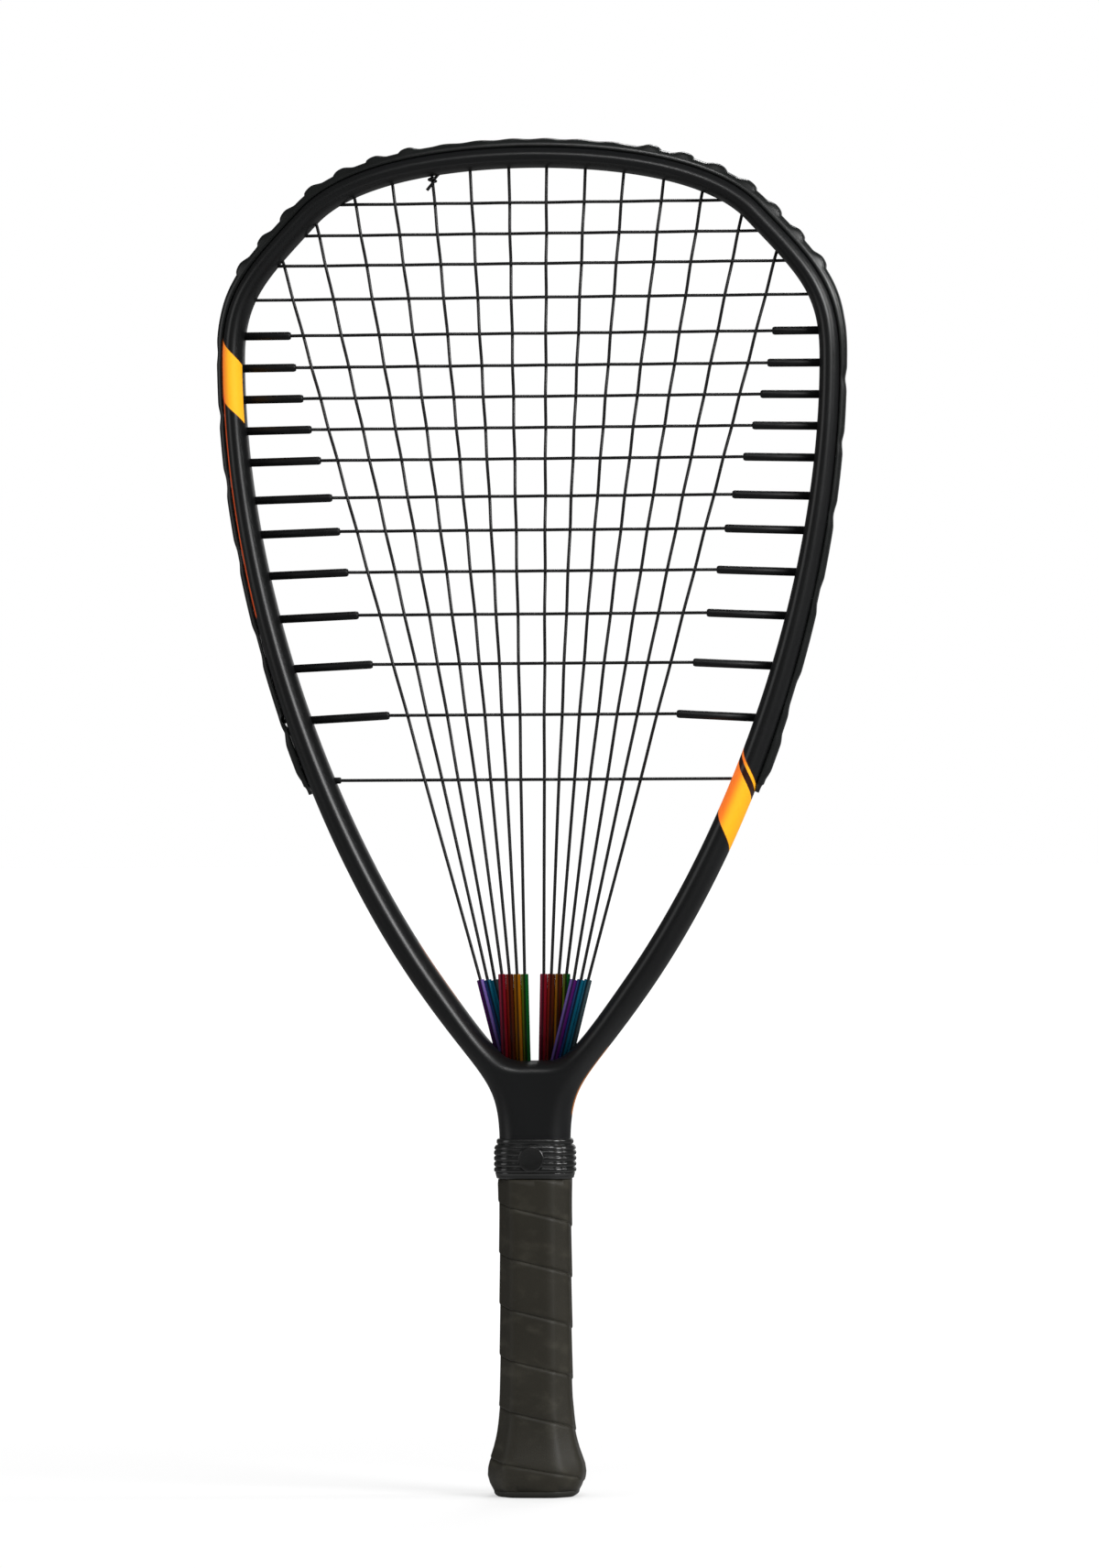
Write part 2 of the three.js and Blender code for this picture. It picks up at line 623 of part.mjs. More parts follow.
/** Points of a cross from side to side, and along the wall to the next one or, after the last, to its end. */
function crossPoints(cross, j) {
  const isRightward = j % 2 === 0;
  const [from, to] = isRightward ? [cross.left, cross.right] : [cross.right, cross.left];
  const woven = mains.map((main, i) => ({ main, i }))
    .filter(({ main }) => theyMeet(main, cross))
    .map(({ main, i }) => new THREE.Vector3(mainAcross(main, cross.height), -bow(i, j), cross.height));
  const { arc, exit } = to.hole;
  const next = crosses[j + 1]?.[isRightward ? 'right' : 'left'].hole;
  const onward = next
    ? alongWall(arc, next.arc, exit.y, next.exit.y)
    : alongWall(arc, arc - Math.sign(arc) * TAIL_LENGTH, exit.y, exit.y, 0);
  return [...wayOut(from).reverse(), ...(isRightward ? woven : woven.reverse()), ...wayOut(to), ...onward];
}

/** The cross string's points: from its tied end over the shoulder to the first cross, and on to the last. */
const crossString = [
  ...tiePoints(),
  ...wayOut({ hole: tieHole }),
  ...alongWall(tieHole.arc, crosses[0].left.hole.arc, LOOP_OFFSET, LOOP_OFFSET),
  ...crosses.flatMap(crossPoints),
];

/** The least gap between strands of a string, measured on points a string's radius apart. */
function leastGap(points) {
  const fine = points.slice(1).flatMap((end, i) => {
    const count = Math.ceil(end.distanceTo(points[i]) / STRING_RADIUS);
    return Array.from({ length: count }, (_, k) => points[i].clone().lerp(end, k / count));
  });
  const skipped = Math.ceil(4 * STRING_DIAMETER / STRING_RADIUS);
  let least = Infinity;
  for (let i = 0; i < fine.length; i++) {
    for (let j = i + skipped; j < fine.length; j++) {
      least = Math.min(least, fine[i].distanceToSquared(fine[j]));
    }
  }
  return Math.sqrt(least) - STRING_DIAMETER;
}

// Holes and hollows of the frame

/** A straight hole through the hoop, with a wider seat at its inner end where a tube sits in it. */
function hoopHole(hole, seatRadius) {
  const start = hole.entry.clone().addScaledVector(hole.through, -HOLE_OVERRUN);
  const length = hole.exit.distanceTo(hole.entry) + 2 * HOLE_OVERRUN;
  const seat = HOLE_OVERRUN + SIDE_TUBE_SEAT;
  const profile = seatRadius > BORE_RADIUS
    ? [[0, 0], [seatRadius, 0], [seatRadius, seat], [BORE_RADIUS, seat], [BORE_RADIUS, length], [0, length]]
    : [[0, 0], [BORE_RADIUS, 0], [BORE_RADIUS, length], [0, length]];
  return turned(profile, HOLE_SIDES, start, hole.through);
}

/** The hole of a main through the throat wall, from the pocket to the hollow shaft. */
function throatHole(main) {
  const start = mainBelow(main, POCKET_FLOOR + HOLE_OVERRUN);
  const length = start.distanceTo(mainBelow(main, CHAMBER_ROOF - HOLE_OVERRUN));
  return turned([[0, 0], [BORE_RADIUS, 0], [BORE_RADIUS, length], [0, length]], HOLE_SIDES, start, main.down);
}

/** The pocket in the throat rim that takes the feet of one side's tubes. */
function throatPocket(side) {
  const around = THROAT_TUBE_DIAMETER / 2 + FIT_GAP;
  const near = INNER_FAN.foot - around;
  const far = OUTER_FAN.foot + OUTER_FAN.footStep * (OUTER_FAN.count - 1) + around + BORE_RADIUS;
  const half = THROAT_LAYER_OFFSET + around;
  const corner = half / 3;
  const outline = [
    [near, corner - half], [near + corner, -half], [far - corner, -half], [far, corner - half],
    [far, half - corner], [far - corner, half], [near + corner, half], [near, half - corner],
  ];
  return skin([POCKET_FLOOR, POCKET_FLOOR + 4 * POCKET_DEPTH].map((z) =>
    outline.map(([x, y]) => new THREE.Vector3(side * x, y, z))));
}

/** The room round a throat tube beside the rim, from the pocket up to the tube's tip. */
function throatTubeRoom(main) {
  const start = mainBelow(main, POCKET_FLOOR);
  const length = start.distanceTo(main.tubeTop) + FIT_GAP;
  const radius = THROAT_TUBE_DIAMETER / 2 + FIT_GAP;
  const up = main.down.clone().negate();
  return turned([[0, 0], [radius, 0], [radius, length], [0, length]], ROUND_SIDES, start, up);
}

/** The hollow of the shaft, from the butt up to the throat wall, wide enough for the mains that end in it. */
function shaftHollow() {
  const coreHalf = CORE_WIDTH / 2 - CORE_WALL;
  const halfDepth = CORE_DEPTH / 2 - CORE_WALL;
  const besideMains = (height) => [mainBelow(mains.at(-1), height).x + HOLE_OVERRUN, height];
  const levels = [
    [coreHalf, 0],
    [coreHalf, SHAFT_TOP + CORE_WALL],
    besideMains(CHAMBER_ROOF - TAIL_LENGTH - HOLE_OVERRUN),
    besideMains(CHAMBER_ROOF),
  ];
  return skin(levels.map(([half, z]) => shaftRing(half, halfDepth, halfDepth, 3, z)));
}

/** The frame with all its holes. */
function frame() {
  const tubeSeat = SIDE_TUBE_DIAMETER / 2 + FIT_GAP;
  const grommetSeat = GROMMET_DIAMETER / 2 + FIT_GAP;
  const lastCross = crosses.at(-1);
  const bothHoles = (cross, seat) => [hoopHole(cross.left.hole, seat), hoopHole(cross.right.hole, seat)];
  return cut(frameBody(), [
    ...mains.map((main) => hoopHole(main.hole, BORE_RADIUS)),
    ...mains.map(throatHole),
    ...crosses.slice(0, FIRST_TUBE_ROW).flatMap((cross) => bothHoles(cross, BORE_RADIUS)),
    ...crosses.slice(FIRST_TUBE_ROW, -1).flatMap((cross) => bothHoles(cross, tubeSeat)),
    hoopHole(lastCross.left.hole, grommetSeat),
    hoopHole(lastCross.right.hole, BORE_RADIUS),
    hoopHole(tieHole, BORE_RADIUS),
    throatPocket(1),
    throatPocket(-1),
    ...mains.slice(0, OUTER_FAN.count).map(throatTubeRoom),
    ...mains.slice(-OUTER_FAN.count).map(throatTubeRoom),
    shaftHollow(),
  ]);
}

// The bumper guard

const LOOP_MARGIN = 1.5 * BORE_RADIUS;
const humpEnd = Math.abs(crosses.at(-1).left.hole.arc) + LOOP_MARGIN;
const guardEnd = humpEnd + TONGUE_LENGTH;
const sideStart = 0.4 * guardEnd;

/** The stretches of wall, from and to, under which a side's string loops lie, as distances from the top. */
function loopStretches(side) {
  const ends = crosses.map((cross) => Math.abs((side < 0 ? cross.left : cross.right).hole.arc));
  const first = side < 0 ? 1 : 0;
  const stretches = [];
  for (let j = first; j + 1 < ends.length; j += 2) stretches.push([ends[j], ends[j + 1]]);
  if (side < 0) stretches.push([ends.at(-1) - TAIL_LENGTH, ends.at(-1)]);
  return stretches;
}

/** 1 over a stretch and its margin, easing to 0 over the ramp on either side. */
function over(arc, [from, to], margin, ramp) {
  const [start, end] = [from - margin, to + margin];
  return smooth(arc, start - ramp, start) * (1 - smooth(arc, end, end + ramp));
}

const stretches = { left: loopStretches(-1), right: loopStretches(1) };
const padCentres = Array.from({ length: PADS_PER_SIDE }, (_, k) => PAD_START + k * PAD_PITCH);

/** How far the guard's outer face stands off the wall, without its pads. */
function guardRise(arc, overLoop) {
  const reach = Math.abs(arc);
  const base = mix(GUARD_RISE_TOP, GUARD_RISE_SIDE, smooth(reach, sideStart, 1.2 * sideStart));
  const hump = over(reach, [humpEnd - 2 * TAIL_LENGTH, humpEnd], -GUARD_RAMP, 2 * GUARD_RAMP);
  return Math.max(mix(base, GUARD_RISE_LOOP, overLoop), mix(base, GUARD_RISE_END, hump));
}

/** How far a pad lifts the guard's crown: a flat dome over each pad. */
function padRise(arc) {
  const centre = padCentres.find((middle) => Math.abs(Math.abs(arc) - middle) < PAD_LENGTH / 2);
  if (centre === undefined) return 0;
  return PAD_RISE * Math.sqrt(1 - ((Math.abs(arc) - centre) / (PAD_LENGTH / 2)) ** 2);
}

/** The guard's section at a distance along the wall: ten points round a strip with a channel inside. */
function guardRing(arc) {
  const reach = Math.abs(arc);
  const wall = wallAt(arc);
  const overLoop = Math.max(
    1 - smooth(reach, sideStart, sideStart + GUARD_RAMP),
    ...stretches[arc < 0 ? 'left' : 'right'].map((stretch) => over(reach, stretch, LOOP_MARGIN, GUARD_RAMP)),
  );
  const tongue = smooth(reach, humpEnd, humpEnd + 0.3 * TONGUE_LENGTH);
  const lifted = [humpEnd - 3 * TAIL_LENGTH, humpEnd - 2 * TAIL_LENGTH];
  const lift = GUARD_END_LIFT * over(reach, lifted, 0, GUARD_RAMP);
  const half = mix(mix(GUARD_DEPTH_TOP, GUARD_DEPTH_SIDE, smooth(reach, sideStart, 1.3 * sideStart)) / 2,
    CHANNEL_HALF_DEPTH, smooth(reach, humpEnd, guardEnd));
  const rise = mix(guardRise(arc, overLoop), 2 * GUARD_EDGE, tongue);
  const [rounding, halfDepth] = [hoopWidth(wall.place.y) / 2, hoopDepth(wall.place.y) / 2];
  const drop = (y) => rounding * (1 - (1 - (y / halfDepth) ** EDGE_POWER) ** (1 / EDGE_POWER));
  const seat = (y) => FIT_GAP + lift - drop(y);
  const crown = Math.min(0.36 * half, CHANNEL_HALF_DEPTH);
  const shoulder = 0.64 * half;
  const channel = Math.max(mix(seat(CHANNEL_HALF_DEPTH), GUARD_CHANNEL, overLoop * (1 - tongue)), seat(0));
  const shoulderRise = mix(seat(shoulder) + GUARD_EDGE, rise, 0.6);
  const quarter = [
    [CHANNEL_HALF_DEPTH, channel], [half, seat(half)], [half, seat(half) + GUARD_EDGE],
    [shoulder, shoulderRise], [crown, rise + padRise(arc)],
  ];
  const ring = [...quarter, ...quarter.map(([y, n]) => [-y, n]).reverse()];
  return ring.map(([y, n]) => inSpace(wall.place.clone().addScaledVector(wall.outward, n), y));
}

/** The places along the wall where the guard's section changes, from its left end to its right end. */
function guardStations() {
  const padShares = [-1, -0.7, 0.7, 1];
  const onSide = (list) => [
    ...padCentres.flatMap((centre) => padShares.map((share) => centre + (share * PAD_LENGTH) / 2)),
    ...list.flatMap(([from, to]) => [
      from - LOOP_MARGIN - GUARD_RAMP, from - LOOP_MARGIN, (from + to) / 2, to + LOOP_MARGIN,
      to + LOOP_MARGIN + GUARD_RAMP,
    ]).filter((arc) => arc > padCentres.at(-1) + PAD_LENGTH / 2),
    PAD_PITCH, 2 * PAD_PITCH, humpEnd - 3 * TAIL_LENGTH - GUARD_RAMP, humpEnd - 3 * TAIL_LENGTH,
    humpEnd - TAIL_LENGTH, humpEnd, humpEnd + 0.3 * TONGUE_LENGTH, guardEnd,
  ];
  const all = [...onSide(stretches.left).map((arc) => -arc), 0, ...onSide(stretches.right)]
    .filter((arc) => Math.abs(arc) <= guardEnd)
    .sort((a, b) => a - b);
  return all.filter((arc, i) => i === 0 || arc - all[i - 1] > GUARD_RAMP / 4);
}

// Sections of the handle, as rings at a height

/** The shaft's section: flat in front and behind, its edges rounded off over edgeRound. */
function shaftRing(halfWidth, halfDepth, edgeRound, cornerPoints, z) {
  const corner = Array.from({ length: cornerPoints }, (_, i) => {
    const angle = (i / (cornerPoints - 1)) * (Math.PI / 2);
    const across = Math.max(Math.cos(angle), 0) ** (2 / EDGE_POWER);
    return [halfWidth - edgeRound * (1 - across), halfDepth * Math.sin(angle) ** (2 / EDGE_POWER)];
  });
  const back = [...corner, ...corner.map(([x, y]) => [-x, y]).reverse()];
  return [...back, ...back.slice(1, -1).map(([x, y]) => [x, -y]).reverse()]
    .map(([x, y]) => new THREE.Vector3(x, y, z));
}

/** The section of a bore that slides over the shaft's or the core's section. */
function sleeveRing(halfWidth, halfDepth, z) {
  const edgeRound = SHAFT_EDGE_ROUND + SLEEVE_GAP;
  return shaftRing(halfWidth + SLEEVE_GAP, halfDepth + SLEEVE_GAP, edgeRound, CORNER_POINTS, z);
}

/** The grip's section: an octagon with every corner cut twice, so that it looks rounded. */
function gripRing(halfWidth, halfDepth, z) {
  const [flat, side] = [FRONT_FLAT_SHARE * halfWidth, SIDE_FLAT_SHARE * halfDepth];
  const corners = [
    [halfWidth, -side], [halfWidth, side], [flat, halfDepth], [-flat, halfDepth],
    [-halfWidth, side], [-halfWidth, -side], [-flat, -halfDepth], [flat, -halfDepth],
  ].map(([x, y]) => new THREE.Vector3(x, y, z));
  return corners.flatMap((corner, i) => {
    const [before, after] = [corners.at(i - 1), corners[(i + 1) % corners.length]];
    return [corner.clone().lerp(before, CORNER_SHARE), corner.clone().lerp(after, CORNER_SHARE)];
  });
}

const gripProfile = new THREE.SplineCurve(GRIP_SHARES.map(([up, out]) => new THREE.Vector2(up, out)));
const gripOutline = gripProfile.getPoints(4 * LINE_STEPS);

/** Half the grip's width at a height, without the laps. */
function gripHalfWidth(z) {
  const up = THREE.MathUtils.clamp((z - GRIP_BOTTOM) / GRIP_LENGTH, 0, 1);
  const i = Math.max(1, gripOutline.findIndex((point) => point.x >= up));
  const [low, high] = [gripOutline[i - 1], gripOutline[i]];
  return (GRIP_WIDTH / 2) * mix(low.y, high.y, (up - low.x) / (high.x - low.x));
}

/** The grip's section at a height, grown or shrunk by an offset. */
function gripRingAt(z, offset) {
  const half = gripHalfWidth(z);
  return gripRing(half + offset, (half * GRIP_DEPTH) / GRIP_WIDTH + offset, z);
}

/** The collar: six rounded ribs over a plain band, with a round boss in front. */
function collar() {
  const ring = (z, inset) => shaftRing(
    COLLAR_WIDTH / 2 - inset, COLLAR_DEPTH / 2 - inset, SHAFT_EDGE_ROUND + FIT_GAP, CORNER_POINTS, z,
  );
  const top = COLLAR_BOTTOM + COLLAR_HEIGHT;
  const bandTop = top - COLLAR_RIBS * COLLAR_RIB_PITCH;
  const ribs = Array.from({ length: COLLAR_RIBS }, (_, k) => {
    const foot = bandTop + k * COLLAR_RIB_PITCH;
    const inset = k === COLLAR_RIBS - 1 ? COLLAR_GROOVE / 2 : 0;
    return [
      ring(foot, COLLAR_GROOVE), ring(foot + 0.35 * COLLAR_RIB_PITCH, inset),
      ring(foot + 0.75 * COLLAR_RIB_PITCH, inset),
    ];
  });
  const outer = [
    ring(COLLAR_BOTTOM, COLLAR_GROOVE / 2), ring(COLLAR_BOTTOM + COLLAR_GROOVE, 0),
    ring(bandTop - COLLAR_GROOVE / 2, 0), ...ribs.flat(), ring(top, COLLAR_GROOVE),
  ];
  const bore = [top, COLLAR_BOTTOM].map((z) => sleeveRing(SHAFT_WIDTH / 2, SHAFT_DEPTH / 2, z));
  const root = new THREE.Vector3(0, BOSS_SINK - COLLAR_DEPTH / 2, top - COLLAR_HEIGHT / 2);
  const [radius, rise] = [BOSS_DIAMETER / 2, BOSS_SINK + BOSS_RISE];
  const boss = turned(
    [[0, 0], [radius, 0], [radius, rise - BOSS_RISE / 2], [radius - BOSS_RISE / 2, rise], [0, rise]],
    ROUND_SIDES, root, new THREE.Vector3(0, -1, 0),
  );
  return geometryOf(solidOf(skin([...outer, ...bore], true)).add(solidOf(boss)));
}

/** A fan over an edge of vertices that comes back to its start, from a new vertex on the axis at a height. */
function addFan(positions, index, edge, z, turn) {
  const centre = positions.length / 3;
  positions.push(0, 0, z);
  edge.forEach((a, i) => {
    const b = edge[(i + 1) % edge.length];
    index.push(centre, ...(turn > 0 ? [b, a] : [a, b]));
  });
}

/** The spiral wrap, longer than the grip at both ends: each turn's lower edge laps over the turn below. */
function spiralWrap() {
  const around = gripRing(1, 1, 0).length;
  const frontCentre = 1.5 / around;
  const start = LOWEST_SEAM - (2 + frontCentre) * WRAP_PITCH;
  const turns = Math.ceil((GRIP_TOP - start) / WRAP_PITCH);
  const steps = around * turns;
  const width = WRAP_ROWS + 1;
  const at = (step, row) => step * width + row;
  const positions = [];
  const index = [];
  const addQuad = (a, b, c, d) => index.push(a, b, c, a, c, d);
  for (let step = 0; step <= steps; step++) {
    for (let row = 0; row < width; row++) {
      const z = start + (step / around + row / WRAP_ROWS) * WRAP_PITCH;
      const ring = gripRingAt(z, GRIP_LAP * (1 - row / WRAP_ROWS));
      positions.push(...ring.at(-1 - (step % around)).toArray());
    }
  }
  for (let step = 0; step < steps; step++) {
    for (let row = 0; row < WRAP_ROWS; row++) {
      addQuad(at(step, row), at(step + 1, row), at(step + 1, row + 1), at(step, row + 1));
    }
    if (step + around < steps) {
      addQuad(at(step, WRAP_ROWS), at(step + 1, WRAP_ROWS), at(step + 1 + around, 0), at(step + around, 0));
    }
  }
  const turn = Array.from({ length: around + 1 }, (_, k) => k);
  const seam = Array.from({ length: width }, (_, row) => row).reverse();
  const low = [...turn.map((k) => at(k, 0)), ...seam.map((row) => at(0, row))];
  const high = [...turn.map((k) => at(steps - around + k, WRAP_ROWS)), ...seam.map((row) => at(steps, row))];
  addFan(positions, index, low, start, 1);
  addFan(positions, index, high, start + turns * WRAP_PITCH, -1);
  return meshOf(positions, index);
}

/** The grip: the spiral wrap trimmed flat at both ends, hollow for the core and, below, the cap's neck. */
function grip() {
  const slab = skin([GRIP_BOTTOM, GRIP_TOP].map((z) => gripRing(GRIP_WIDTH, GRIP_WIDTH, z)));
  const capRoom = Array.from({ length: CAP_ROWS + 1 }, (_, i) =>
    mix(GRIP_BOTTOM - FIT_GAP, CAP_HEIGHT + FIT_GAP, i / CAP_ROWS));
  const wrap = geometryOf(solidOf(spiralWrap()).intersect(solidOf(slab)));
  return cut(wrap, [coreRoom(0), skin(capRoom.map((z) => gripRingAt(z, FIT_GAP - CAP_INSET)))]);
}

/** The room for the frame's core inside a piece, from a height up past the top of the grip. */
function coreRoom(bottom) {
  return skin([bottom, GRIP_TOP + GRIP_LENGTH].map((z) => sleeveRing(CORE_WIDTH / 2, CORE_DEPTH / 2, z)));
}

/** The butt cap: a flanged cup over the foot of the core, with a hole for a wrist cord. */
function buttCap() {
  const flangeTop = GRIP_BOTTOM - FIT_GAP;
  const flange = [[0, CAP_BEVEL], [CAP_BEVEL / 3, CAP_BEVEL / 3], [flangeTop, 0]].map(([z, inset]) => {
    const half = gripHalfWidth(GRIP_BOTTOM) - inset;
    return gripRing(half, (half * GRIP_DEPTH) / GRIP_WIDTH, z);
  });
  const neck = Array.from({ length: CAP_ROWS + 1 }, (_, i) =>
    gripRingAt(mix(flangeTop, CAP_HEIGHT, i / CAP_ROWS), -CAP_INSET));
  const [radius, length] = [CORD_HOLE_DIAMETER / 2, 2 * CAP_FLOOR];
  const hole = turned(
    [[0, 0], [radius, 0], [radius, length], [0, length]],
    ROUND_SIDES, new THREE.Vector3(0, 0, -CAP_FLOOR / 2), new THREE.Vector3(0, 0, 1),
  );
  return cut(skin([...flange, ...neck]), [coreRoom(CAP_FLOOR), hole]);
}

// The racket

const looks = {
  frame: { color: 0x1b1d1e, roughness: 0.35, metalness: 0.1 },
  guard: { color: 0x17181a, roughness: 0.4, metalness: 0 },
  string: { color: 0x0c0c0d, roughness: 0.45, metalness: 0 },
  sideTube: { color: 0x141415, roughness: 0.5, metalness: 0 },
  grip: { color: 0x2d2d28, roughness: 0.75, metalness: 0 },
  collar: { color: 0x1a1b1b, roughness: 0.6, metalness: 0 },
  cap: { color: 0x1c1c1c, roughness: 0.5, metalness: 0 },
};
const THROAT_TUBE_COLORS = [
  0x3c1e5a, 0x0f4a6a, 0x1f4a4c, 0x7a1e2e, 0x8a2c1c, 0x7a5a10, 0x145a20,
  0x80202c, 0x5a3a10, 0x4a5a14, 0x0f5048, 0x3a2a70, 0x123f66, 0x3a3a40,
];
const racket = new THREE.Group();

/** Adds a named piece to the racket. */
function add(name, geometry, look) {
  geometry.computeVertexNormals();
  const mesh = new THREE.Mesh(geometry, new THREE.MeshStandardMaterial(look));
  mesh.name = name;
  racket.add(mesh);
}

const twoDigits = (number) => String(number).padStart(2, '0');

add('frame', frame(), looks.frame);
add('bumper_guard', skin(guardStations().map(guardRing)), looks.guard);
add('main_string', cord(mainString), looks.string);
add('cross_string', cord(crossString), looks.string);
console.log(`least gap of the main string to itself: ${leastGap(mainString).toFixed(2)} mm`);
console.log(`least gap of the cross string to itself: ${leastGap(crossString).toFixed(2)} mm`);

const tubeBore = STRING_RADIUS + BORE_CLEARANCE - STRING_GAP / 2;
const seatReach = SIDE_TUBE_SEAT - FIT_GAP;
crosses.slice(FIRST_TUBE_ROW, LAST_TUBE_ROW + 1).forEach((cross, k) => {
  for (const side of ['left', 'right']) {
    const { tip, hole } = cross[side];
    const seated = hole.entry.clone().addScaledVector(hole.through, seatReach);
    const tube = sleeve(tip, seated, SIDE_TUBE_DIAMETER / 2, tubeBore);
    add(`side_tube_${side}_${twoDigits(k + 1)}`, tube, looks.sideTube);
  }
});

const { hole: lowestHole } = crosses.at(-1).left;
add('end_grommet', sleeve(
  lowestHole.entry.clone().addScaledVector(lowestHole.through, -GROMMET_REACH),
  lowestHole.entry.clone().addScaledVector(lowestHole.through, seatReach),
  GROMMET_DIAMETER / 2, tubeBore,
), looks.guard);

mains.forEach((main, i) => {
  const look = { color: THROAT_TUBE_COLORS[i], roughness: 0.25, metalness: 0 };
  const foot = mainBelow(main, POCKET_FLOOR + FIT_GAP + STRING_GAP);
  const bore = STRING_RADIUS + STRING_GAP + STRING_GAP / 2;
  add(`throat_tube_${twoDigits(i + 1)}`, sleeve(main.tubeTop, foot, THROAT_TUBE_DIAMETER / 2, bore), look);
});

add('grip_collar', collar(), looks.collar);
add('grip_wrap', grip(), looks.grip);
add('butt_cap', buttCap(), looks.cap);

export default racket;
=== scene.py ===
# %% [markdown]
# # A racquetball racket
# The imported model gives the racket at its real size. Every piece that shows is made again here as a fine
# surface over it, from the same few named sizes, and gets a finish of its own. Blender works in metres, and
# the sizes below are in millimetres, so each surface is scaled down once, when its mesh is made.

import bmesh
import bpy
import numpy as np
from mathutils import Matrix, Vector


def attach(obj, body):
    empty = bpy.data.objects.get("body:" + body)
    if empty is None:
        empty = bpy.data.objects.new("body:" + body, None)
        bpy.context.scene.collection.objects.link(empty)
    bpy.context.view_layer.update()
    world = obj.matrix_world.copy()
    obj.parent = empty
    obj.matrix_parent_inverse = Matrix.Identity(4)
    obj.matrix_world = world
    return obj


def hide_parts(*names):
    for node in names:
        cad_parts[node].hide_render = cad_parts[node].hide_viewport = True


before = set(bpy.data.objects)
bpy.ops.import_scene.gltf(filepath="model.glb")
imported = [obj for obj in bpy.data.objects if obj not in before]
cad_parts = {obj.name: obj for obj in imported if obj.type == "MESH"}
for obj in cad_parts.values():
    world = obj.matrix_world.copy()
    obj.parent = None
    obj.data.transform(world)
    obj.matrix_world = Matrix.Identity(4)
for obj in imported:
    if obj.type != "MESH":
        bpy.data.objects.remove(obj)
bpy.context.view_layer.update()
MM = 0.001
scene = bpy.context.scene

# %% [markdown]
# ## The camera
# The photograph shows the racket from the front and a little from its right, level with its middle, from
# far enough away that the head and the grip keep their true proportions. A long lens at a few metres does
# that. It is worked out from how tall a strip of the racket's plane the picture shows: 1712 rows of 0.3772
# mm.

# %% Camera
DISTANCE = 4.0
AZIMUTH = np.radians(7.0)
PICTURE_HEIGHT = 1712 * 0.3772 * MM
MIDDLE = Vector((0.0067, 0.0, 0.2931))
ROLL = np.radians(-0.3)

across = Vector((np.cos(AZIMUTH), np.sin(AZIMUTH), 0))
toward = Vector((-np.sin(AZIMUTH), np.cos(AZIMUTH), 0))
camera_data = bpy.data.cameras.new("camera")
camera_data.sensor_fit = "VERTICAL"
camera_data.sensor_height = 36
camera_data.lens = camera_data.sensor_height * DISTANCE / PICTURE_HEIGHT
camera = bpy.data.objects.new("camera", camera_data)
scene.collection.objects.link(camera)
place = across * MIDDLE.x + Vector((0, 0, MIDDLE.z)) - toward * DISTANCE
turn = toward.to_track_quat("-Z", "Y").to_matrix().to_4x4() @ Matrix.Rotation(ROLL, 4, "Z")
camera.matrix_world = Matrix.Translation(place) @ turn
scene.camera = camera
print(f"lens {camera_data.lens:.1f} mm at {DISTANCE} m")

# %% [markdown]
# ## Sizes
# These are the solids' sizes, fitted to the photograph once more: the arms are a little slimmer, and three
# crosses lie a little higher. The right half of the string opening is four Bezier curves. Each of their
# knots has its place as shares of the opening's width and height, its heading in degrees, and its two
# handles as shares of half the width.

# %% Sizes, in millimetres
INSIDE_WIDTH, INSIDE_HEIGHT, RIM_HEIGHT = 238.8, 369.4, 177.5
HOOP_WIDTH, HOOP_DEPTH, ARM_WIDTH, SLIM_ARM_WIDTH, THROAT_DEPTH = 8.8, 20.0, 12.0, 11.2, 22.0
SHAFT_WIDTH, SHAFT_DEPTH, SHAFT_TOP, SHAFT_ROUND = 29.2, 21.6, 143.6, 9.0
EDGE_POWER = 2.2
STRING_RADIUS, STRING_BORE, WEAVE, FIT_GAP = 0.65, 0.78, 0.85, 0.3
HALF = INSIDE_WIDTH / 2
OPENING = [
    (0, 1, 0, 0, 0.172),
    (0.746, 0.94, -46.5, 0.23, 0.275),
    (1, 0.788, -90, 0.208, 0.77),
    (0.3285, 0.1015, -125, 0.631, 0.385),
    (0, 0.005, -180, 0.102, 0),
]
CROSS_SHARES = [
    0.9613, 0.9269, 0.8934, 0.8557, 0.8155, 0.7799, 0.7452, 0.7105,
    0.6758, 0.634, 0.5963, 0.5505, 0.5026, 0.4475, 0.3904, 0.318]
FAN_SHARES = [0.063, 0.189, 0.315, 0.448, 0.582, 0.729, 0.88]

# %% [markdown]
# ## Curves in the plane of the strings
# A cubic Bezier curve has two ends and two handles. Its points are weighted sums of those four, so one line
# of array maths gives a whole curve. The outer wall of the hoop is the opening moved outwards, square to
# its heading.

# %% Curves


def unit(vectors):
    """Vectors of length one."""
    return vectors / np.linalg.norm(vectors, axis=-1, keepdims=True)


def heading(degrees):
    return np.array([np.cos(np.radians(degrees)), np.sin(np.radians(degrees))])


def lengths_to(line):
    """The length of a line up to each of its points."""
    return np.concatenate([[0], np.cumsum(np.linalg.norm(np.diff(line, axis=0), axis=1))])


def bezier(ends, share):
    """Points at shares of a cubic curve: (1-t)^3 a + 3(1-t)^2 t b + 3(1-t) t^2 c + t^3 d."""
    t, (a, b, c, d) = share[:, None], ends
    return (1 - t) ** 3 * a + 3 * (1 - t) ** 2 * t * b + 3 * (1 - t) * t ** 2 * c + t ** 3 * d


def headings(ends, share):
    """Unit headings of the curve at those shares, from its first derivative."""
    t, (a, b, c, d) = share[:, None], ends
    return unit((1 - t) ** 2 * (b - a) + 2 * (1 - t) * t * (c - b) + t ** 2 * (d - c))


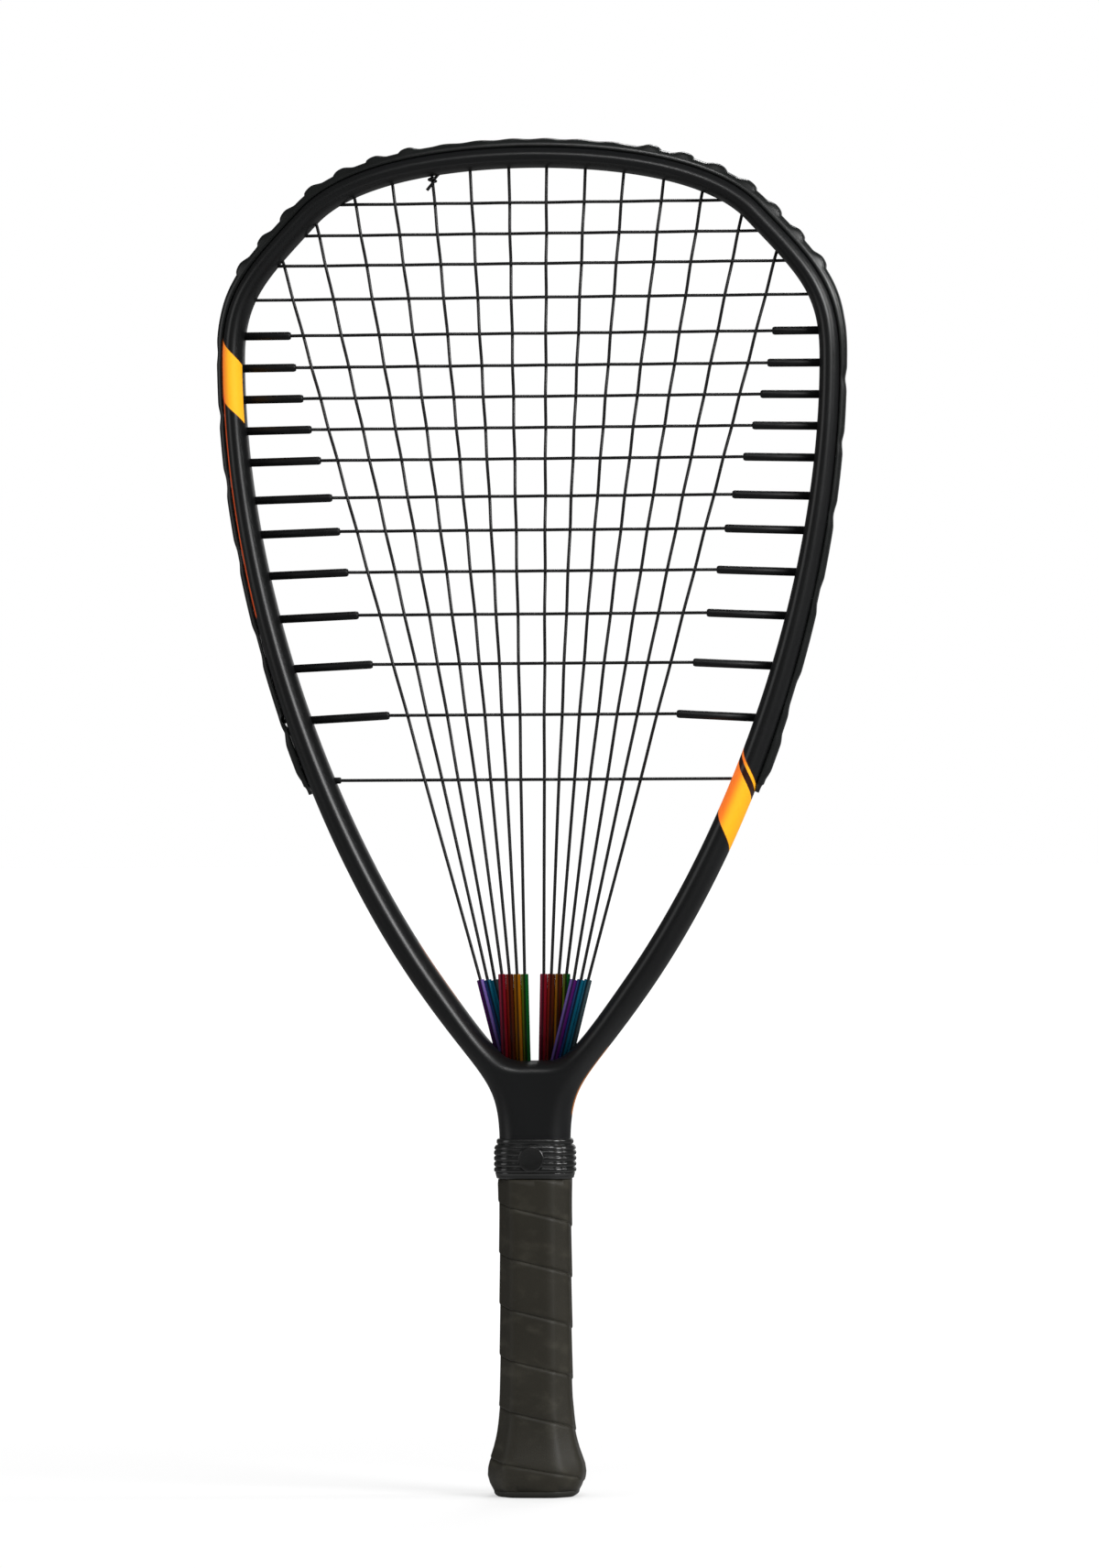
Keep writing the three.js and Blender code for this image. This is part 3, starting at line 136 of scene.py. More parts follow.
def smooth(value, low, high):
    """0 below low, 1 above high, an even S between: 3u^2 - 2u^3."""
    u = np.clip((value - low) / (high - low), 0, 1)
    return u * u * (3 - 2 * u)


def mix(a, b, share):
    """a where the share is 0 and b where it is 1."""
    return a + (b - a) * share


def knot(across_share, up_share, degrees, before, after):
    """A knot's place and its two handles."""
    spot = np.array([across_share * HALF, RIM_HEIGHT + up_share * INSIDE_HEIGHT])
    way = heading(degrees) * HALF
    return spot, spot - way * before, spot + way * after


knots = [knot(*row) for row in OPENING]
opening_curves = [(a[0], a[2], b[1], b[0]) for a, b in zip(knots, knots[1:])]
WIDEST, ARM_START = knots[2][0][1], knots[3][0][1]


def arm_share(height):
    """How far the hoop has turned into the arm at a height."""
    return smooth(WIDEST - height, 0, WIDEST - ARM_START)


def hoop_width(height):
    return mix(HOOP_WIDTH, SLIM_ARM_WIDTH, arm_share(height))


def hoop_depth(height):
    return mix(HOOP_DEPTH, THROAT_DEPTH, arm_share(height))


def across_hoop(curve, share):
    """Points of the opening, and of the outer wall square across from them."""
    inner, run = bezier(curve, share), headings(curve, share)
    return inner, inner + np.stack([-run[:, 1], run[:, 0]], 1) * hoop_width(inner[:, 1:])


arm_end = across_hoop(opening_curves[2], np.ones(1))[1][0]
arm_handle = arm_end + heading(OPENING[3][2]) * 4 * ARM_WIDTH
shaft_side = np.array([SHAFT_WIDTH / 2, SHAFT_TOP])
throat_side = (arm_end, arm_handle, shaft_side + [0, 2.4 * ARM_WIDTH], shaft_side)
fine = np.linspace(0, 1, 160, endpoint=False)
outer_line = np.concatenate([across_hoop(c, fine)[1] for c in opening_curves[:3]]
                            + [bezier(throat_side, np.linspace(0, 1, 161))])
opening_line = np.concatenate([bezier(c, fine) for c in opening_curves] + [knots[-1][0][None]])
outer_arcs = lengths_to(outer_line)
print(f"outer wall: {outer_arcs[-1]:.0f} mm from the top to the shaft")

# %% [markdown]
# ## Making a mesh from a grid
# Most pieces are a grid of points: rings along a path, or rows across a shape. One helper turns such a grid
# into faces. Another makes the object: it merges doubled points, closes open ends, turns the faces outward
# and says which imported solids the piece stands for.

# %% Mesh helpers


def grid_faces(rows, columns, around=False, joined=False):
    """Quads between neighbours in a grid; around closes its columns into rings, joined closes its rows."""
    r = np.arange(rows if joined else rows - 1)
    c = np.arange(columns if around else columns - 1)
    r, c = np.meshgrid(r, c, indexing="ij")
    r2, c2 = (r + 1) % rows, (c + 1) % columns
    corners = r * columns + c, r * columns + c2, r2 * columns + c2, r2 * columns + c
    return np.stack(corners, -1).reshape(-1, 4)


def piece(name, points, faces, finish, stands_for, slot, uv=None):
    """A closed object of points in millimetres and quads, riding on the racket; uv has a row per point."""
    mesh = bpy.data.meshes.new(name)
    mesh.from_pydata((points * MM).tolist(), [], faces.tolist())
    if uv is not None:
        layer = mesh.uv_layers.new(name="surface")
        layer.data.foreach_set("uv", uv[faces.ravel()].ravel().astype(np.float32))
    work = bmesh.new()
    work.from_mesh(mesh)
    bmesh.ops.remove_doubles(work, verts=work.verts, dist=2e-6)
    bmesh.ops.holes_fill(work, edges=[edge for edge in work.edges if edge.is_boundary])
    bmesh.ops.recalc_face_normals(work, faces=work.faces)
    work.to_mesh(mesh)
    work.free()
    mesh.shade_smooth()
    mesh.materials.append(finish)
    thing = bpy.data.objects.new(name, mesh)
    scene.collection.objects.link(thing)
    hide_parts(*stands_for)
    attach(thing, "root")
    print(f"{name}: {len(mesh.polygons)} faces")


def space(plane, y=0.0):
    """Points (x, z) of the strings' plane as points in space."""
    return np.stack([plane[..., 0], np.broadcast_to(y, plane.shape[:-1]), plane[..., 1]], -1)


def together(parts):
    """Several meshes as one."""
    points, faces = zip(*parts)
    starts = np.cumsum([0] + [len(some) for some in points[:-1]])
    return np.concatenate(points), np.concatenate([some + start for some, start in zip(faces, starts)])


def rings_round(middles, radius, a, b, sides):
    """Rings of points m + r (a cos k + b sin k), with a and b square to the way along the middles."""
    k = np.linspace(0, 2 * np.pi, sides, endpoint=False)[:, None]
    radius = np.broadcast_to(radius, len(middles))[:, None, None]
    rings = middles[:, None] + radius * (a[..., None, :] * np.cos(k) + b[..., None, :] * np.sin(k))
    return rings.reshape(-1, 3)

# %% [markdown]
# ## Writing shader maths as sums
# A tree of a few dozen Math nodes is hard to read. A small class wraps an output socket, so that a mask can
# be written as an expression, and one method adds any other node. Five finishes are alike, so one function
# makes them all: two close colours in soft clouds, a roughness that goes with the clouds, and a fine grain.

# %% Shader helpers


class Wave:
    """A number that changes over the surface: an output socket with Python's operators."""

    def __init__(self, board, socket):
        self.board, self.socket = board, socket

    def _do(self, operation, *values):
        return self.board.add("Math", {"operation": operation}, *values)

    def __add__(self, other): return self._do("ADD", self, other)
    def __sub__(self, other): return self._do("SUBTRACT", self, other)
    def __mul__(self, other): return self._do("MULTIPLY", self, other)
    def __truediv__(self, other): return self._do("DIVIDE", self, other)
    def __radd__(self, other): return self._do("ADD", other, self)
    def __rsub__(self, other): return self._do("SUBTRACT", other, self)
    def __rmul__(self, other): return self._do("MULTIPLY", other, self)
    def __abs__(self): return self._do("ABSOLUTE", self)
    def most(self, other): return self._do("MAXIMUM", self, other)

    def step(self, low, high):
        """0 below low, 1 above high, and smooth between."""
        return self.board.add("MapRange", {"interpolation_type": "SMOOTHSTEP"}, self, low, high, 0.0, 1.0)


class Board:
    """The node tree of a new material or world, and the means to add to it."""

    def __init__(self, name, kind=bpy.data.materials):
        self.owner = kind.new(name)
        self.owner.use_nodes = True
        self.tree = self.owner.node_tree

    def link(self, value, socket):
        """Feeds a socket from a wave, or sets it to a plain value."""
        if isinstance(value, Wave):
            self.tree.links.new(value.socket, socket)
        else:
            socket.default_value = value

    def add(self, kind, settings, *values, output=0, **named):
        """A new node of a kind, with its settings, fed in order or by name; gives one of its outputs."""
        node = self.tree.nodes.new("ShaderNode" + kind)
        for key, value in settings.items():
            setattr(node, key, value)
        for key, value in [*enumerate(values), *named.items()]:
            self.link(value, node.inputs[int(key) if str(key).isdigit() else key])
        return Wave(self, node.outputs[output])

    def parts(self, vector):
        """The three numbers of a vector."""
        node = self.add("SeparateXYZ", {}, vector).socket.node
        return [Wave(self, output) for output in node.outputs]

    def noise(self, size, detail=2.0, stretch=(1, 1, 1)):
        """Noise from 0 to 1 with features about so many millimetres wide."""
        place = self.add("TexCoord", {}, output="Object")
        scaled = self.add("Mapping", {}, place, Scale=[1000.0 / (size * s) for s in stretch])
        return self.add("TexNoise", {}, Vector=scaled, Scale=1.0, Detail=detail)

    def paint(self, base, tint, mask):
        """One colour over another where the mask is 1."""
        return self.add("Mix", {"data_type": "RGBA"}, mask, **{"6": base, "7": tint}, output=2)

    def finish(self, base, rough, sheen, bump=None, height=0.1, **sockets):
        """Sets the shader's sockets, with an optional bump in millimetres, and gives the material."""
        if bump is not None:
            sockets["Normal"] = self.add("Bump", {}, Strength=1.0, Distance=height * MM, Height=bump)
        sockets.update({"Base Color": base, "Roughness": rough, "Specular IOR Level": sheen})
        for key, value in sockets.items():
            self.link(value, self.tree.nodes["Principled BSDF"].inputs[key])
        return self.owner


def colour(red, green, blue):
    """A colour as a screen shows it, from 0 to 255, as the linear colour that Blender works in."""
    c = np.array([red, green, blue]) / 255
    return (*np.where(c > 0.04045, ((c + 0.055) / 1.055) ** 2.4, c / 12.92).tolist(), 1.0)


BLACK, WHITE = colour(0, 0, 0), colour(255, 255, 255)


def clouded(name, dark, light, clouds, grain, height, rough, sheen):
    """Two colours in clouds, a bump of grain (each a size and detail), a least and an added roughness."""
    board = Board(name)
    patches = board.noise(*clouds)
    base = board.paint(colour(*dark), colour(*light), patches)
    return board.finish(base, rough[0] + rough[1] * patches, sheen, board.noise(*grain), height)

# %% [markdown]
# ## The lacquer
# The frame is carbon composite under a satin black lacquer, with marks sprayed below the clear coat. A
# slanted band on the left of the head fades from orange to yellow, with a fine line below it. The right arm
# has the same band with one more stripe, and the sides of the throat and of the left arm have a thin orange
# patch. Each band's fade is painted light on one orange ink: yellow on the side of the hoop that faces the
# lights on the right, orange on the side turned away from them. All their borders are straight on a UV map:
# how far along the hoop a point lies, in millimetres from the top, and how far round it, from 0 on the
# outer wall to 1 on the inner one. The bands also get a painted glow, so that they stay bright in shade.

# %% Lacquer
# The bands' one orange ink, painted as it looks in shade and as it looks lit.
SHADED_INK, LIT_INK, BROWN = colour(255, 120, 0), colour(255, 176, 0), colour(46, 12, 2)
LINE_RED, DARK_ORANGE, SIDE_ORANGE = colour(244, 88, 16), colour(150, 78, 10), colour(196, 112, 8)
LEFT_SLANT, LEFT_EDGED, LEFT_BAND = 14.5, (162.3, 188.2), (162.9, 187.5)
FINE_LINE, LEFT_PATCH = (188.0, 281.0), (434.0, 457.0)
RIGHT_SLANT, RIGHT_EDGED, RIGHT_STRIPE, RIGHT_BAND = 15.6, (355.4, 384.6), (356.1, 357.8), (361.3, 384.0)
# The strength of the bands' painted glow, which keeps them bright in shade.
RIGHT_PATCH, PAINTED_GLOW = (479.0, 511.0), 0.15


def between(value, low, high, soft=0.25):
    """1 where a value lies between two others, with soft borders."""
    return value.step(low - soft, low + soft) * value.step(high + soft, high - soft)


def lacquer():
    board = Board("satin_black_lacquer")
    cloud, grain = board.noise(30, 3), board.noise(2.4, 2)
    along, girth, _ = board.parts(board.add("UVMap", {"uv_map": "surface"}))
    base = board.paint(colour(7, 8, 9), colour(14, 15, 16), cloud)
    # The left band with its brown edging, the fine line below it and the patch inside the left arm.
    left = 0.0 - along
    slant = left - LEFT_SLANT * girth
    front = girth.step(0.89, 0.875)
    base = board.paint(base, BROWN, between(slant, *LEFT_EDGED) * front)
    left_band = between(slant, *LEFT_BAND) * front
    # Painted light: the left band runs from the ink in shade at the outer wall to yellow where the lights
    # fall.
    base = board.paint(base, board.paint(SHADED_INK, LIT_INK, girth.step(0.2, 0.46)), left_band)
    base = board.paint(base, LINE_RED, between(girth, 0.165, 0.25, 0.01) * between(left, *FINE_LINE, 1.0))
    base = board.paint(base, DARK_ORANGE, girth.step(0.96, 0.99) * between(left, *LEFT_PATCH, 2.0))
    # The right stripe and band on their brown ground, and the patch on the side.
    slant = along + RIGHT_SLANT * girth
    base = board.paint(base, BROWN, between(slant, *RIGHT_EDGED))
    right_band = between(slant, *RIGHT_STRIPE).most(between(slant, *RIGHT_BAND))
    # Painted light: the right band is yellow on its outer side, which faces the lights, and the ink in
    # shade inwards.
    base = board.paint(base, board.paint(LIT_INK, SHADED_INK, girth.step(0.42, 0.68)), right_band)
    base = board.paint(base, SIDE_ORANGE, girth.step(0.055, 0.04) * between(along, *RIGHT_PATCH, 1.0))
    bands = left_band.most(right_band)
    # The bands' emission is a painted glow that keeps them bright where they face away from the lights.
    return board.finish(base, 0.33 + 0.06 * cloud + 0.35 * bands, 0.5, grain, 0.008, **{
        "Emission Color": board.paint(BLACK, base, bands), "Emission Strength": PAINTED_GLOW})


lacquer_finish = lacquer()

# %% [markdown]
# ## The frame
# The hoop, the arms, the throat and the shaft are one moulding. Seen from the front it is two outlines, and
# its depth swells between them like a pillow: nothing at an edge, full once the edge is rounded off. So
# each point needs only its distance to either outline. Rows of points run from one outline to the other,
# and a quarter of the frame, mirrored to the left and to the back, makes the whole.

# %% Frame
HOOP_ROWS, THROAT_ROWS, LOWER_ROWS, SHAFT_ROWS = (70, 60, 110), 61, 40, (138.0, 132.0)
RIM = knots[-1][0][1]


def distance_to(points, line):
    """The least distance |p - (a + r s)| to the stretches a, r of a line, with s held from 0 to 1."""
    start, run = line[:-1], np.diff(line, axis=0)
    reach = points[:, None] - start
    share = np.clip((reach * run).sum(-1) / (run * run).sum(-1), 0, 1)
    return np.linalg.norm(reach - share[..., None] * run, axis=-1).min(1)


def superellipse(x):
    """The height of a superellipse's quarter at x: (1 - |x|^p)^(1/p)."""
    return (1 - np.abs(x) ** EDGE_POWER) ** (1 / EDGE_POWER)


def fullness(distance, rounding):
    """0 at an edge, 1 once past its rounding, and a superellipse's quarter between."""
    return superellipse(1 - np.minimum(distance / rounding, 1))


def frame_rows():
    """Rows across the right half: inner and outer points, depth, outer and inner rounding."""
    rows = []
    for curve, count in zip(opening_curves[:3], HOOP_ROWS):
        inner, outer = across_hoop(curve, np.linspace(0, 1, count, endpoint=False))
        edge = hoop_width(inner[:, 1]) / 2
        rows.append((inner, outer, hoop_depth(inner[:, 1]), edge, edge))
    # The throat, round the lower end of the opening.
    t = np.linspace(0, 1, THROAT_ROWS)
    edge = mix(SLIM_ARM_WIDTH, ARM_WIDTH, t) / 2
    inner, outer = bezier(opening_curves[3], t), bezier(throat_side, t / 2)
    rows.append((inner, outer, 0 * t + THROAT_DEPTH, edge, edge))
    # Down to the shaft, and a short length of it inside the collar.
    t = np.linspace(0, 1, LOWER_ROWS + 1)[1:]
    inner = np.stack([0 * t, mix(RIM, SHAFT_TOP, t ** 1.6)], 1)
    rows.append((inner, bezier(throat_side, mix(0.5, 1, t)), mix(THROAT_DEPTH, SHAFT_DEPTH, t),
                 mix(ARM_WIDTH / 2, SHAFT_ROUND, t), 0 * t + ARM_WIDTH / 2))
    flat = np.zeros(2)
    inner, outer = (np.stack([flat + x, SHAFT_ROWS], 1) for x in (0, SHAFT_WIDTH / 2))
    rows.append((inner, outer, flat + SHAFT_DEPTH, flat + SHAFT_ROUND, flat + ARM_WIDTH / 2))
    return [np.concatenate(values) for values in zip(*rows)]


def frame_surface(columns=22):
    """A quarter of the frame, with half its depth at each point, and its UV map."""
    inner, outer, depth, outer_round, inner_round = frame_rows()
    share = (1 - np.cos(np.linspace(0, np.pi, columns + 1))) / 2
    plane = mix(outer[:, None], inner[:, None], share[None, :, None])
    flat = plane.reshape(-1, 2)
    on_shaft, to_side = flat[:, 1] < SHAFT_TOP, SHAFT_WIDTH / 2 - flat[:, 0]
    from_outer = np.where(on_shaft, to_side, distance_to(flat, outer_line)).reshape(plane.shape[:2])
    from_inner = distance_to(flat, opening_line).reshape(plane.shape[:2])
    y = fullness(from_outer, outer_round[:, None]) * fullness(from_inner, inner_round[:, None])
    y *= depth[:, None] / 2
    y[:, 0] = 0
    y[inner[:, 1] > RIM - 0.01, -1] = 0
    laid_out = np.meshgrid(lengths_to(outer), np.arange(columns + 1) / columns, indexing="ij")
    return space(plane, y), np.stack(laid_out, -1)


quarter, laid_out = frame_surface()
quads = grid_faces(*quarter.shape[:2])
signs = [(1, 1), (-1, 1), (1, -1), (-1, -1)]
points, faces = together([((quarter * [side, face, 1]).reshape(-1, 3), quads) for side, face in signs])
uv = np.concatenate([(laid_out * [side, 1]).reshape(-1, 2) for side, _ in signs])
piece("frame_shell", points, faces, lacquer_finish, ["frame"], "frame", uv)

# %% [markdown]
# ## Where the strings run
# Each main is a straight line from its tube at the throat to its hole at the top, and each cross is level.
# A string leaves the opening, goes through the hoop and lies along the outer wall to its next hole. The
# places come from one question: where does a ray first meet a line of points? The throat tubes stand in two
# layers, four inner and three outer ones to a side, so that they can lie closer than they are thick.

# %% String routes
LOOP_RISE, LOOP_OFFSET, KINK, LEAN = 0.95, 0.85, 0.65, 0.9
INNER_FAN, OUTER_FAN, INNER_TUBES = (3.8, 3.15, 3.0, 37.5), (16.6, 3.0, 8.6, 35.1), 4
LAYER, TUBE_SEAT, FOOT_HEIGHT, FOOT_STEP = 1.55, 5.0, 3.0, 3.0
TUBE_ROWS, TUBE_TILT = range(4, 15), 0.055


def meet(origin, way, line):
    """Where a ray first meets a line mirrored to its side: place, segment, share along it and side."""
    side = np.sign(way[0] or origin[0]) or 1.0
    start, run = line[:-1] * [side, 1], np.diff(line, axis=0) * [side, 1]
    turn = way[0] * run[:, 1] - way[1] * run[:, 0]
    reach = start - origin
    distance = (reach[:, 0] * run[:, 1] - reach[:, 1] * run[:, 0]) / turn
    share = (reach[:, 0] * way[1] - reach[:, 1] * way[0]) / turn
    distance = np.where((distance > 0) & (share >= 0) & (share <= 1), distance, np.inf)
    i = int(distance.argmin())
    return start[i] + run[i] * share[i], i, share[i], side


def way_through(origin, way, outer_y, square):
    """A string's hole through the hoop: entry, exit, direction, bends, and place on the wall."""
    place, i, _, side = meet(origin, way, opening_line)
    run = unit(opening_line[i + 1] - opening_line[i])
    onward = np.array([side * abs(run[1]), run[0]]) if square else unit(way)
    out, j, share, side = meet(place, onward, outer_line)
    entry, leave = space(place), space(out, outer_y)
    through = unit(leave - entry)
    return dict(entry=entry, exit=leave, through=through, kink=entry - through * KINK,
                turn=entry + space(unit(way)), arc=side * mix(outer_arcs[j], outer_arcs[j + 1], share))


mains = []
for i in range(14):
    side, rank = (-1, 6 - i) if i < 7 else (1, i - 7)
    inside = rank < INNER_TUBES
    (first, step, foot, rise), k = (INNER_FAN, rank) if inside else (OUTER_FAN, rank - INNER_TUBES)
    top = np.array([side * (first + k * step), RIM_HEIGHT + rise])
    foot_point = np.array([side * (foot + k * FOOT_STEP), RIM_HEIGHT + FOOT_HEIGHT])
    level = np.array([side * FAN_SHARES[rank] * HALF - LEAN, RIM_HEIGHT + CROSS_SHARES[1] * INSIDE_HEIGHT])
    way = level - top
    mains.append(dict(top=space(top, side * LAYER if inside else -side * LAYER), slope=way[0] / way[1],
                      down=unit(space(foot_point - top)), hole=way_through(top, way, -LOOP_OFFSET, True)))


def main_at(main, height):
    """A main's place across the face at a height."""
    return main["top"][0] + main["slope"] * (height - main["top"][2])


def main_below(main, height):
    """A point of a main's line in and under its tube."""
    return main["top"] + main["down"] * (height - main["top"][2]) / main["down"][2]


crosses = []
for j, share in enumerate(CROSS_SHARES):
    height = RIM_HEIGHT + share * INSIDE_HEIGHT
    ends = {}
    for side in (-1, 1):
        origin, way = np.array([0, height]), np.array([side, 0.0])
        if j in TUBE_ROWS:
            rank = j - TUBE_ROWS[0]
            length = HALF * min(0.16 + rank * 0.0219, 0.277)
            tip = np.array([meet(origin, way, opening_line)[0][0] - side * length, height])
            tilt = TUBE_TILT * rank / (len(TUBE_ROWS) - 1)
            ends[side] = dict(tip=space(tip), **way_through(tip, np.array([side, -tilt]), 0, False))
        else:
            loops = j < TUBE_ROWS[0]
            ends[side] = way_through(origin, way, LOOP_OFFSET * loops, loops)
    crosses.append(dict(height=height, ends=ends))


def they_meet(main, cross):
    """True where a main and a cross meet inside the opening."""
    x = main_at(main, cross["height"])
    end = cross["ends"][-1 if x < 0 else 1]
    return abs(x) < abs(end.get("tip", end["kink"])[0]) and cross["height"] < main["hole"]["kink"][2]


def bow(i, j):
    """How far a main lies to the back where it meets a cross, which lies as far in front."""
    return WEAVE if (i + j) % 2 == 0 else -WEAVE


def wall_at(arc):
    """The outer wall's place and outward direction at distances along it, negative on the left."""
    side = np.where(arc < 0, -1.0, 1.0)
    i = np.clip(np.searchsorted(outer_arcs, np.abs(arc)) - 1, 0, len(outer_line) - 2)
    share = (np.abs(arc) - outer_arcs[i]) / (outer_arcs[i + 1] - outer_arcs[i])
    spot = mix(outer_line[i], outer_line[i + 1], share[..., None])
    run = unit(outer_line[i + 1] - outer_line[i])
    return spot * np.stack([side, side * 0 + 1], -1), np.stack([-side * run[..., 1], run[..., 0]], -1)


def along_wall(start, stop, stop_reach=1.2):
    """Points of a string on the outer wall between two holes, or up to a free end."""
    onward = np.sign(stop["arc"] - start["arc"])
    arcs = np.linspace(start["arc"] + onward * 1.2, stop["arc"] - onward * stop_reach, 12)
    spot, out = wall_at(arcs)
    return space(spot + out * LOOP_RISE, np.linspace(start["exit"][1], stop["exit"][1], len(arcs)))


def way_out(hole):
    """Points from a tube's tip, or the turn before the hoop, to just past the outer wall."""
    inside = [hole["tip"], hole["entry"] + hole["through"] * TUBE_SEAT] if "tip" in hole else [hole["turn"]]
    return np.array([*inside, hole["exit"] + hole["through"] * LOOP_RISE / 2])


def woven(points, steps=6):
    """Fine points between corners: straight in the face's plane, with an even S from front to back."""
    share = np.linspace(0, 1, steps, endpoint=False)[None, :, None]
    bend = (1 - np.cos(np.pi * share)) / 2
    start, end = points[:-1, None], points[1:, None]
    path = np.where([False, True, False], mix(start, end, bend), mix(start, end, share))
    return np.concatenate([path.reshape(-1, 3), points[-1:]])


print(f"{len(mains)} mains and {len(crosses)} crosses meet "
      f"{sum(they_meet(m, c) for m in mains for c in crosses)} times")

# %% [markdown]
# ## The strings
# A racket is strung with one long piece of nylon for the mains and one for the crosses. Each goes out
# through a hole, along the outside of the hoop and back in through the next. A tube swept along the whole
# route gives the weave and the turns in one go. One axis of its section stays as near to the front as it
# can, which keeps the tube from twisting. The cross string's end comes back in near the top, goes once
# round a main and hangs free.

# %% Strings
CHAMBER_ROOF, TAIL, TIED_MAIN = RIM_HEIGHT - 9.5, 9.0, 4
COIL_TURNS, COIL_RADIUS, COIL_PITCH, FREE_END = 1.1, 1.34, 1.3, np.array([-2.9, -0.4, -3.6])


def sweep(path, across=np.array([0.0, 1.0, 0.0]), sides=8):
    """The string's tube along a path, with an axis square to it and as near as can be to across."""
    run = unit(np.gradient(path, axis=0))
    a = unit(across - (across * run).sum(1, keepdims=True) * run)
    points = rings_round(path, STRING_RADIUS, a, np.cross(run, a), sides)
    return points, grid_faces(len(path), sides, around=True)


def main_route():
    """Corner points of the main string, up and down between the throat and the top."""
    route = []
    for i, main in enumerate(mains):
        last = i == len(mains) - 1
        start = CHAMBER_ROOF - (TAIL if i == 0 or last else 1.2)
        met = [[main_at(main, c["height"]), bow(i, j), c["height"]]
               for j, c in enumerate(crosses) if they_meet(main, c)]
        run = np.concatenate([[main_below(main, start), main["top"]], met[::-1], way_out(main["hole"])])
        if i % 2 == 0:
            route += [run, along_wall(main["hole"], mains[i + 1]["hole"])]
        else:
            route.append(run[::-1])
            if not last:
                ends = [main_below(m, CHAMBER_ROOF - 1.2) for m in (main, mains[i + 1])]
                route.append(np.array([mix(*ends, 0.25), mix(*ends, 0.75)]) - [0, 0, STRING_RADIUS])
    return np.concatenate(route)


tied = mains[TIED_MAIN]
beside = tied["hole"]["entry"][[0, 2]] + [3.4, -HOOP_WIDTH]
tie_hole = way_through(beside, np.array([0.0, 1.0]), LOOP_OFFSET, True)


def tie_route():
    """The tied end, from its hole to a main, round it and away, and the ways out from the main."""
    turns = np.linspace(0, -COIL_TURNS, 27)
    height = tied["hole"]["entry"][2] - 0.9 + turns * COIL_PITCH
    angle = 2 * np.pi * (turns - 0.06)
    ring = np.stack([np.cos(angle), np.sin(angle), 0 * turns], 1)
    first = min(j for j, cross in enumerate(crosses) if they_meet(tied, cross))
    low, high = crosses[first]["height"], tied["hole"]["kink"][2]
    depth = lambda z: bow(TIED_MAIN, first) * (high - z) / (high - low)
    axis = lambda z: np.stack([main_at(tied, z), depth(z), z], 1)
    coil = axis(height) + ring * COIL_RADIUS
    share = np.linspace(0, 1, 7, endpoint=False)[:, None]
    lead = mix(tie_hole["turn"][None], coil[:1], share)
    path = np.concatenate([lead, coil, coil[-1:] + FREE_END * (share + 0.14)])
    return path, unit(path - axis(path[:, 2]))


def cross_route():
    """Corner points of the cross string, from the tied end to the lowest cross."""
    route = [way_out(tie_hole), along_wall(tie_hole, crosses[0]["ends"][-1])]
    for j, cross in enumerate(crosses):
        side = 1 if j % 2 == 0 else -1
        start, end = cross["ends"][-side], cross["ends"][side]
        met = [[main_at(m, cross["height"]), -bow(i, j), cross["height"]]
               for i, m in enumerate(mains) if they_meet(m, cross)]
        route += [way_out(start)[::-1], np.array(met)[::side], way_out(end)]
        if j < len(crosses) - 1:
            route.append(along_wall(end, crosses[j + 1]["ends"][side]))
    free_end = dict(end, arc=end["arc"] - np.sign(end["arc"]) * TAIL)
    return np.concatenate(route + [along_wall(end, free_end, 0)])


nylon_finish = clouded(
    "black_nylon_string", (5, 5, 6), (13, 13, 14), (1.2, 1), (1.2, 1), 0.03, (0.32, 0.12), 0.5)
main_path, cross_path = woven(main_route()), woven(cross_route())
cross_and_tie = together([sweep(cross_path), sweep(*tie_route())])
piece("main_strings", *sweep(main_path), nylon_finish, ["main_string"], "string")
piece("cross_strings", *cross_and_tie, nylon_finish, ["cross_string"], "string")
print(f"main string {lengths_to(main_path)[-1] * MM:.2f} m, "
      f"cross string {lengths_to(cross_path)[-1] * MM:.2f} m")

# %% [markdown]
# ## The tubes round the strings
# Soft tubes of matt black rubber keep the strings from buzzing where they meet the frame. Each is a profile
# turned about the string: a lip, a rounded tip, a plain barrel and a foot that sits in the frame. The
# profile is a short list of places along the tube with their radii, and the tubes differ only in where they
# start and end. The lowest cross has a small sleeve on the left instead.

# %% Turned pieces
SIDE_TUBE_RADIUS, SLEEVE_RADIUS, SLEEVE_REACH = 1.7, 1.3, 2.4


def turned(profile, start, end, sides=20, open_ends=False):
    """A ring of points for each [distance, radius] of a profile, about the line from start to end."""
    along = unit(end - start)
    a = np.eye(3)[1 if abs(along[1]) < 0.9 else 0]
    a = unit(a - (a @ along) * along)
    points = rings_round(start + profile[:, :1] * along, profile[:, 1], a, np.cross(along, a), sides)
    return points, grid_faces(len(profile), sides, around=True, joined=not open_ends)


def tube(start, end, radius, tip=1.4, sides=20):
    """A tube round a string: out over a rounded tip, b + (r - b) sqrt(1 - (1-t)^2), along and in."""
    bore, length, t = STRING_BORE, np.linalg.norm(end - start), np.linspace(0.16, 1, 7)
    nose = np.stack([t * tip, bore + (radius - bore) * np.sqrt(1 - (1 - t) ** 2)], 1)
    lip, foot = [[0.35, bore], [0.12, bore + 0.06]], [[length, radius], [length, bore]]
    return turned(np.concatenate([lip, nose, foot]), start, end, sides)


def seat(end):
    """Where a tube ends in the hoop."""
    return end["entry"] + end["through"] * (TUBE_SEAT - FIT_GAP)


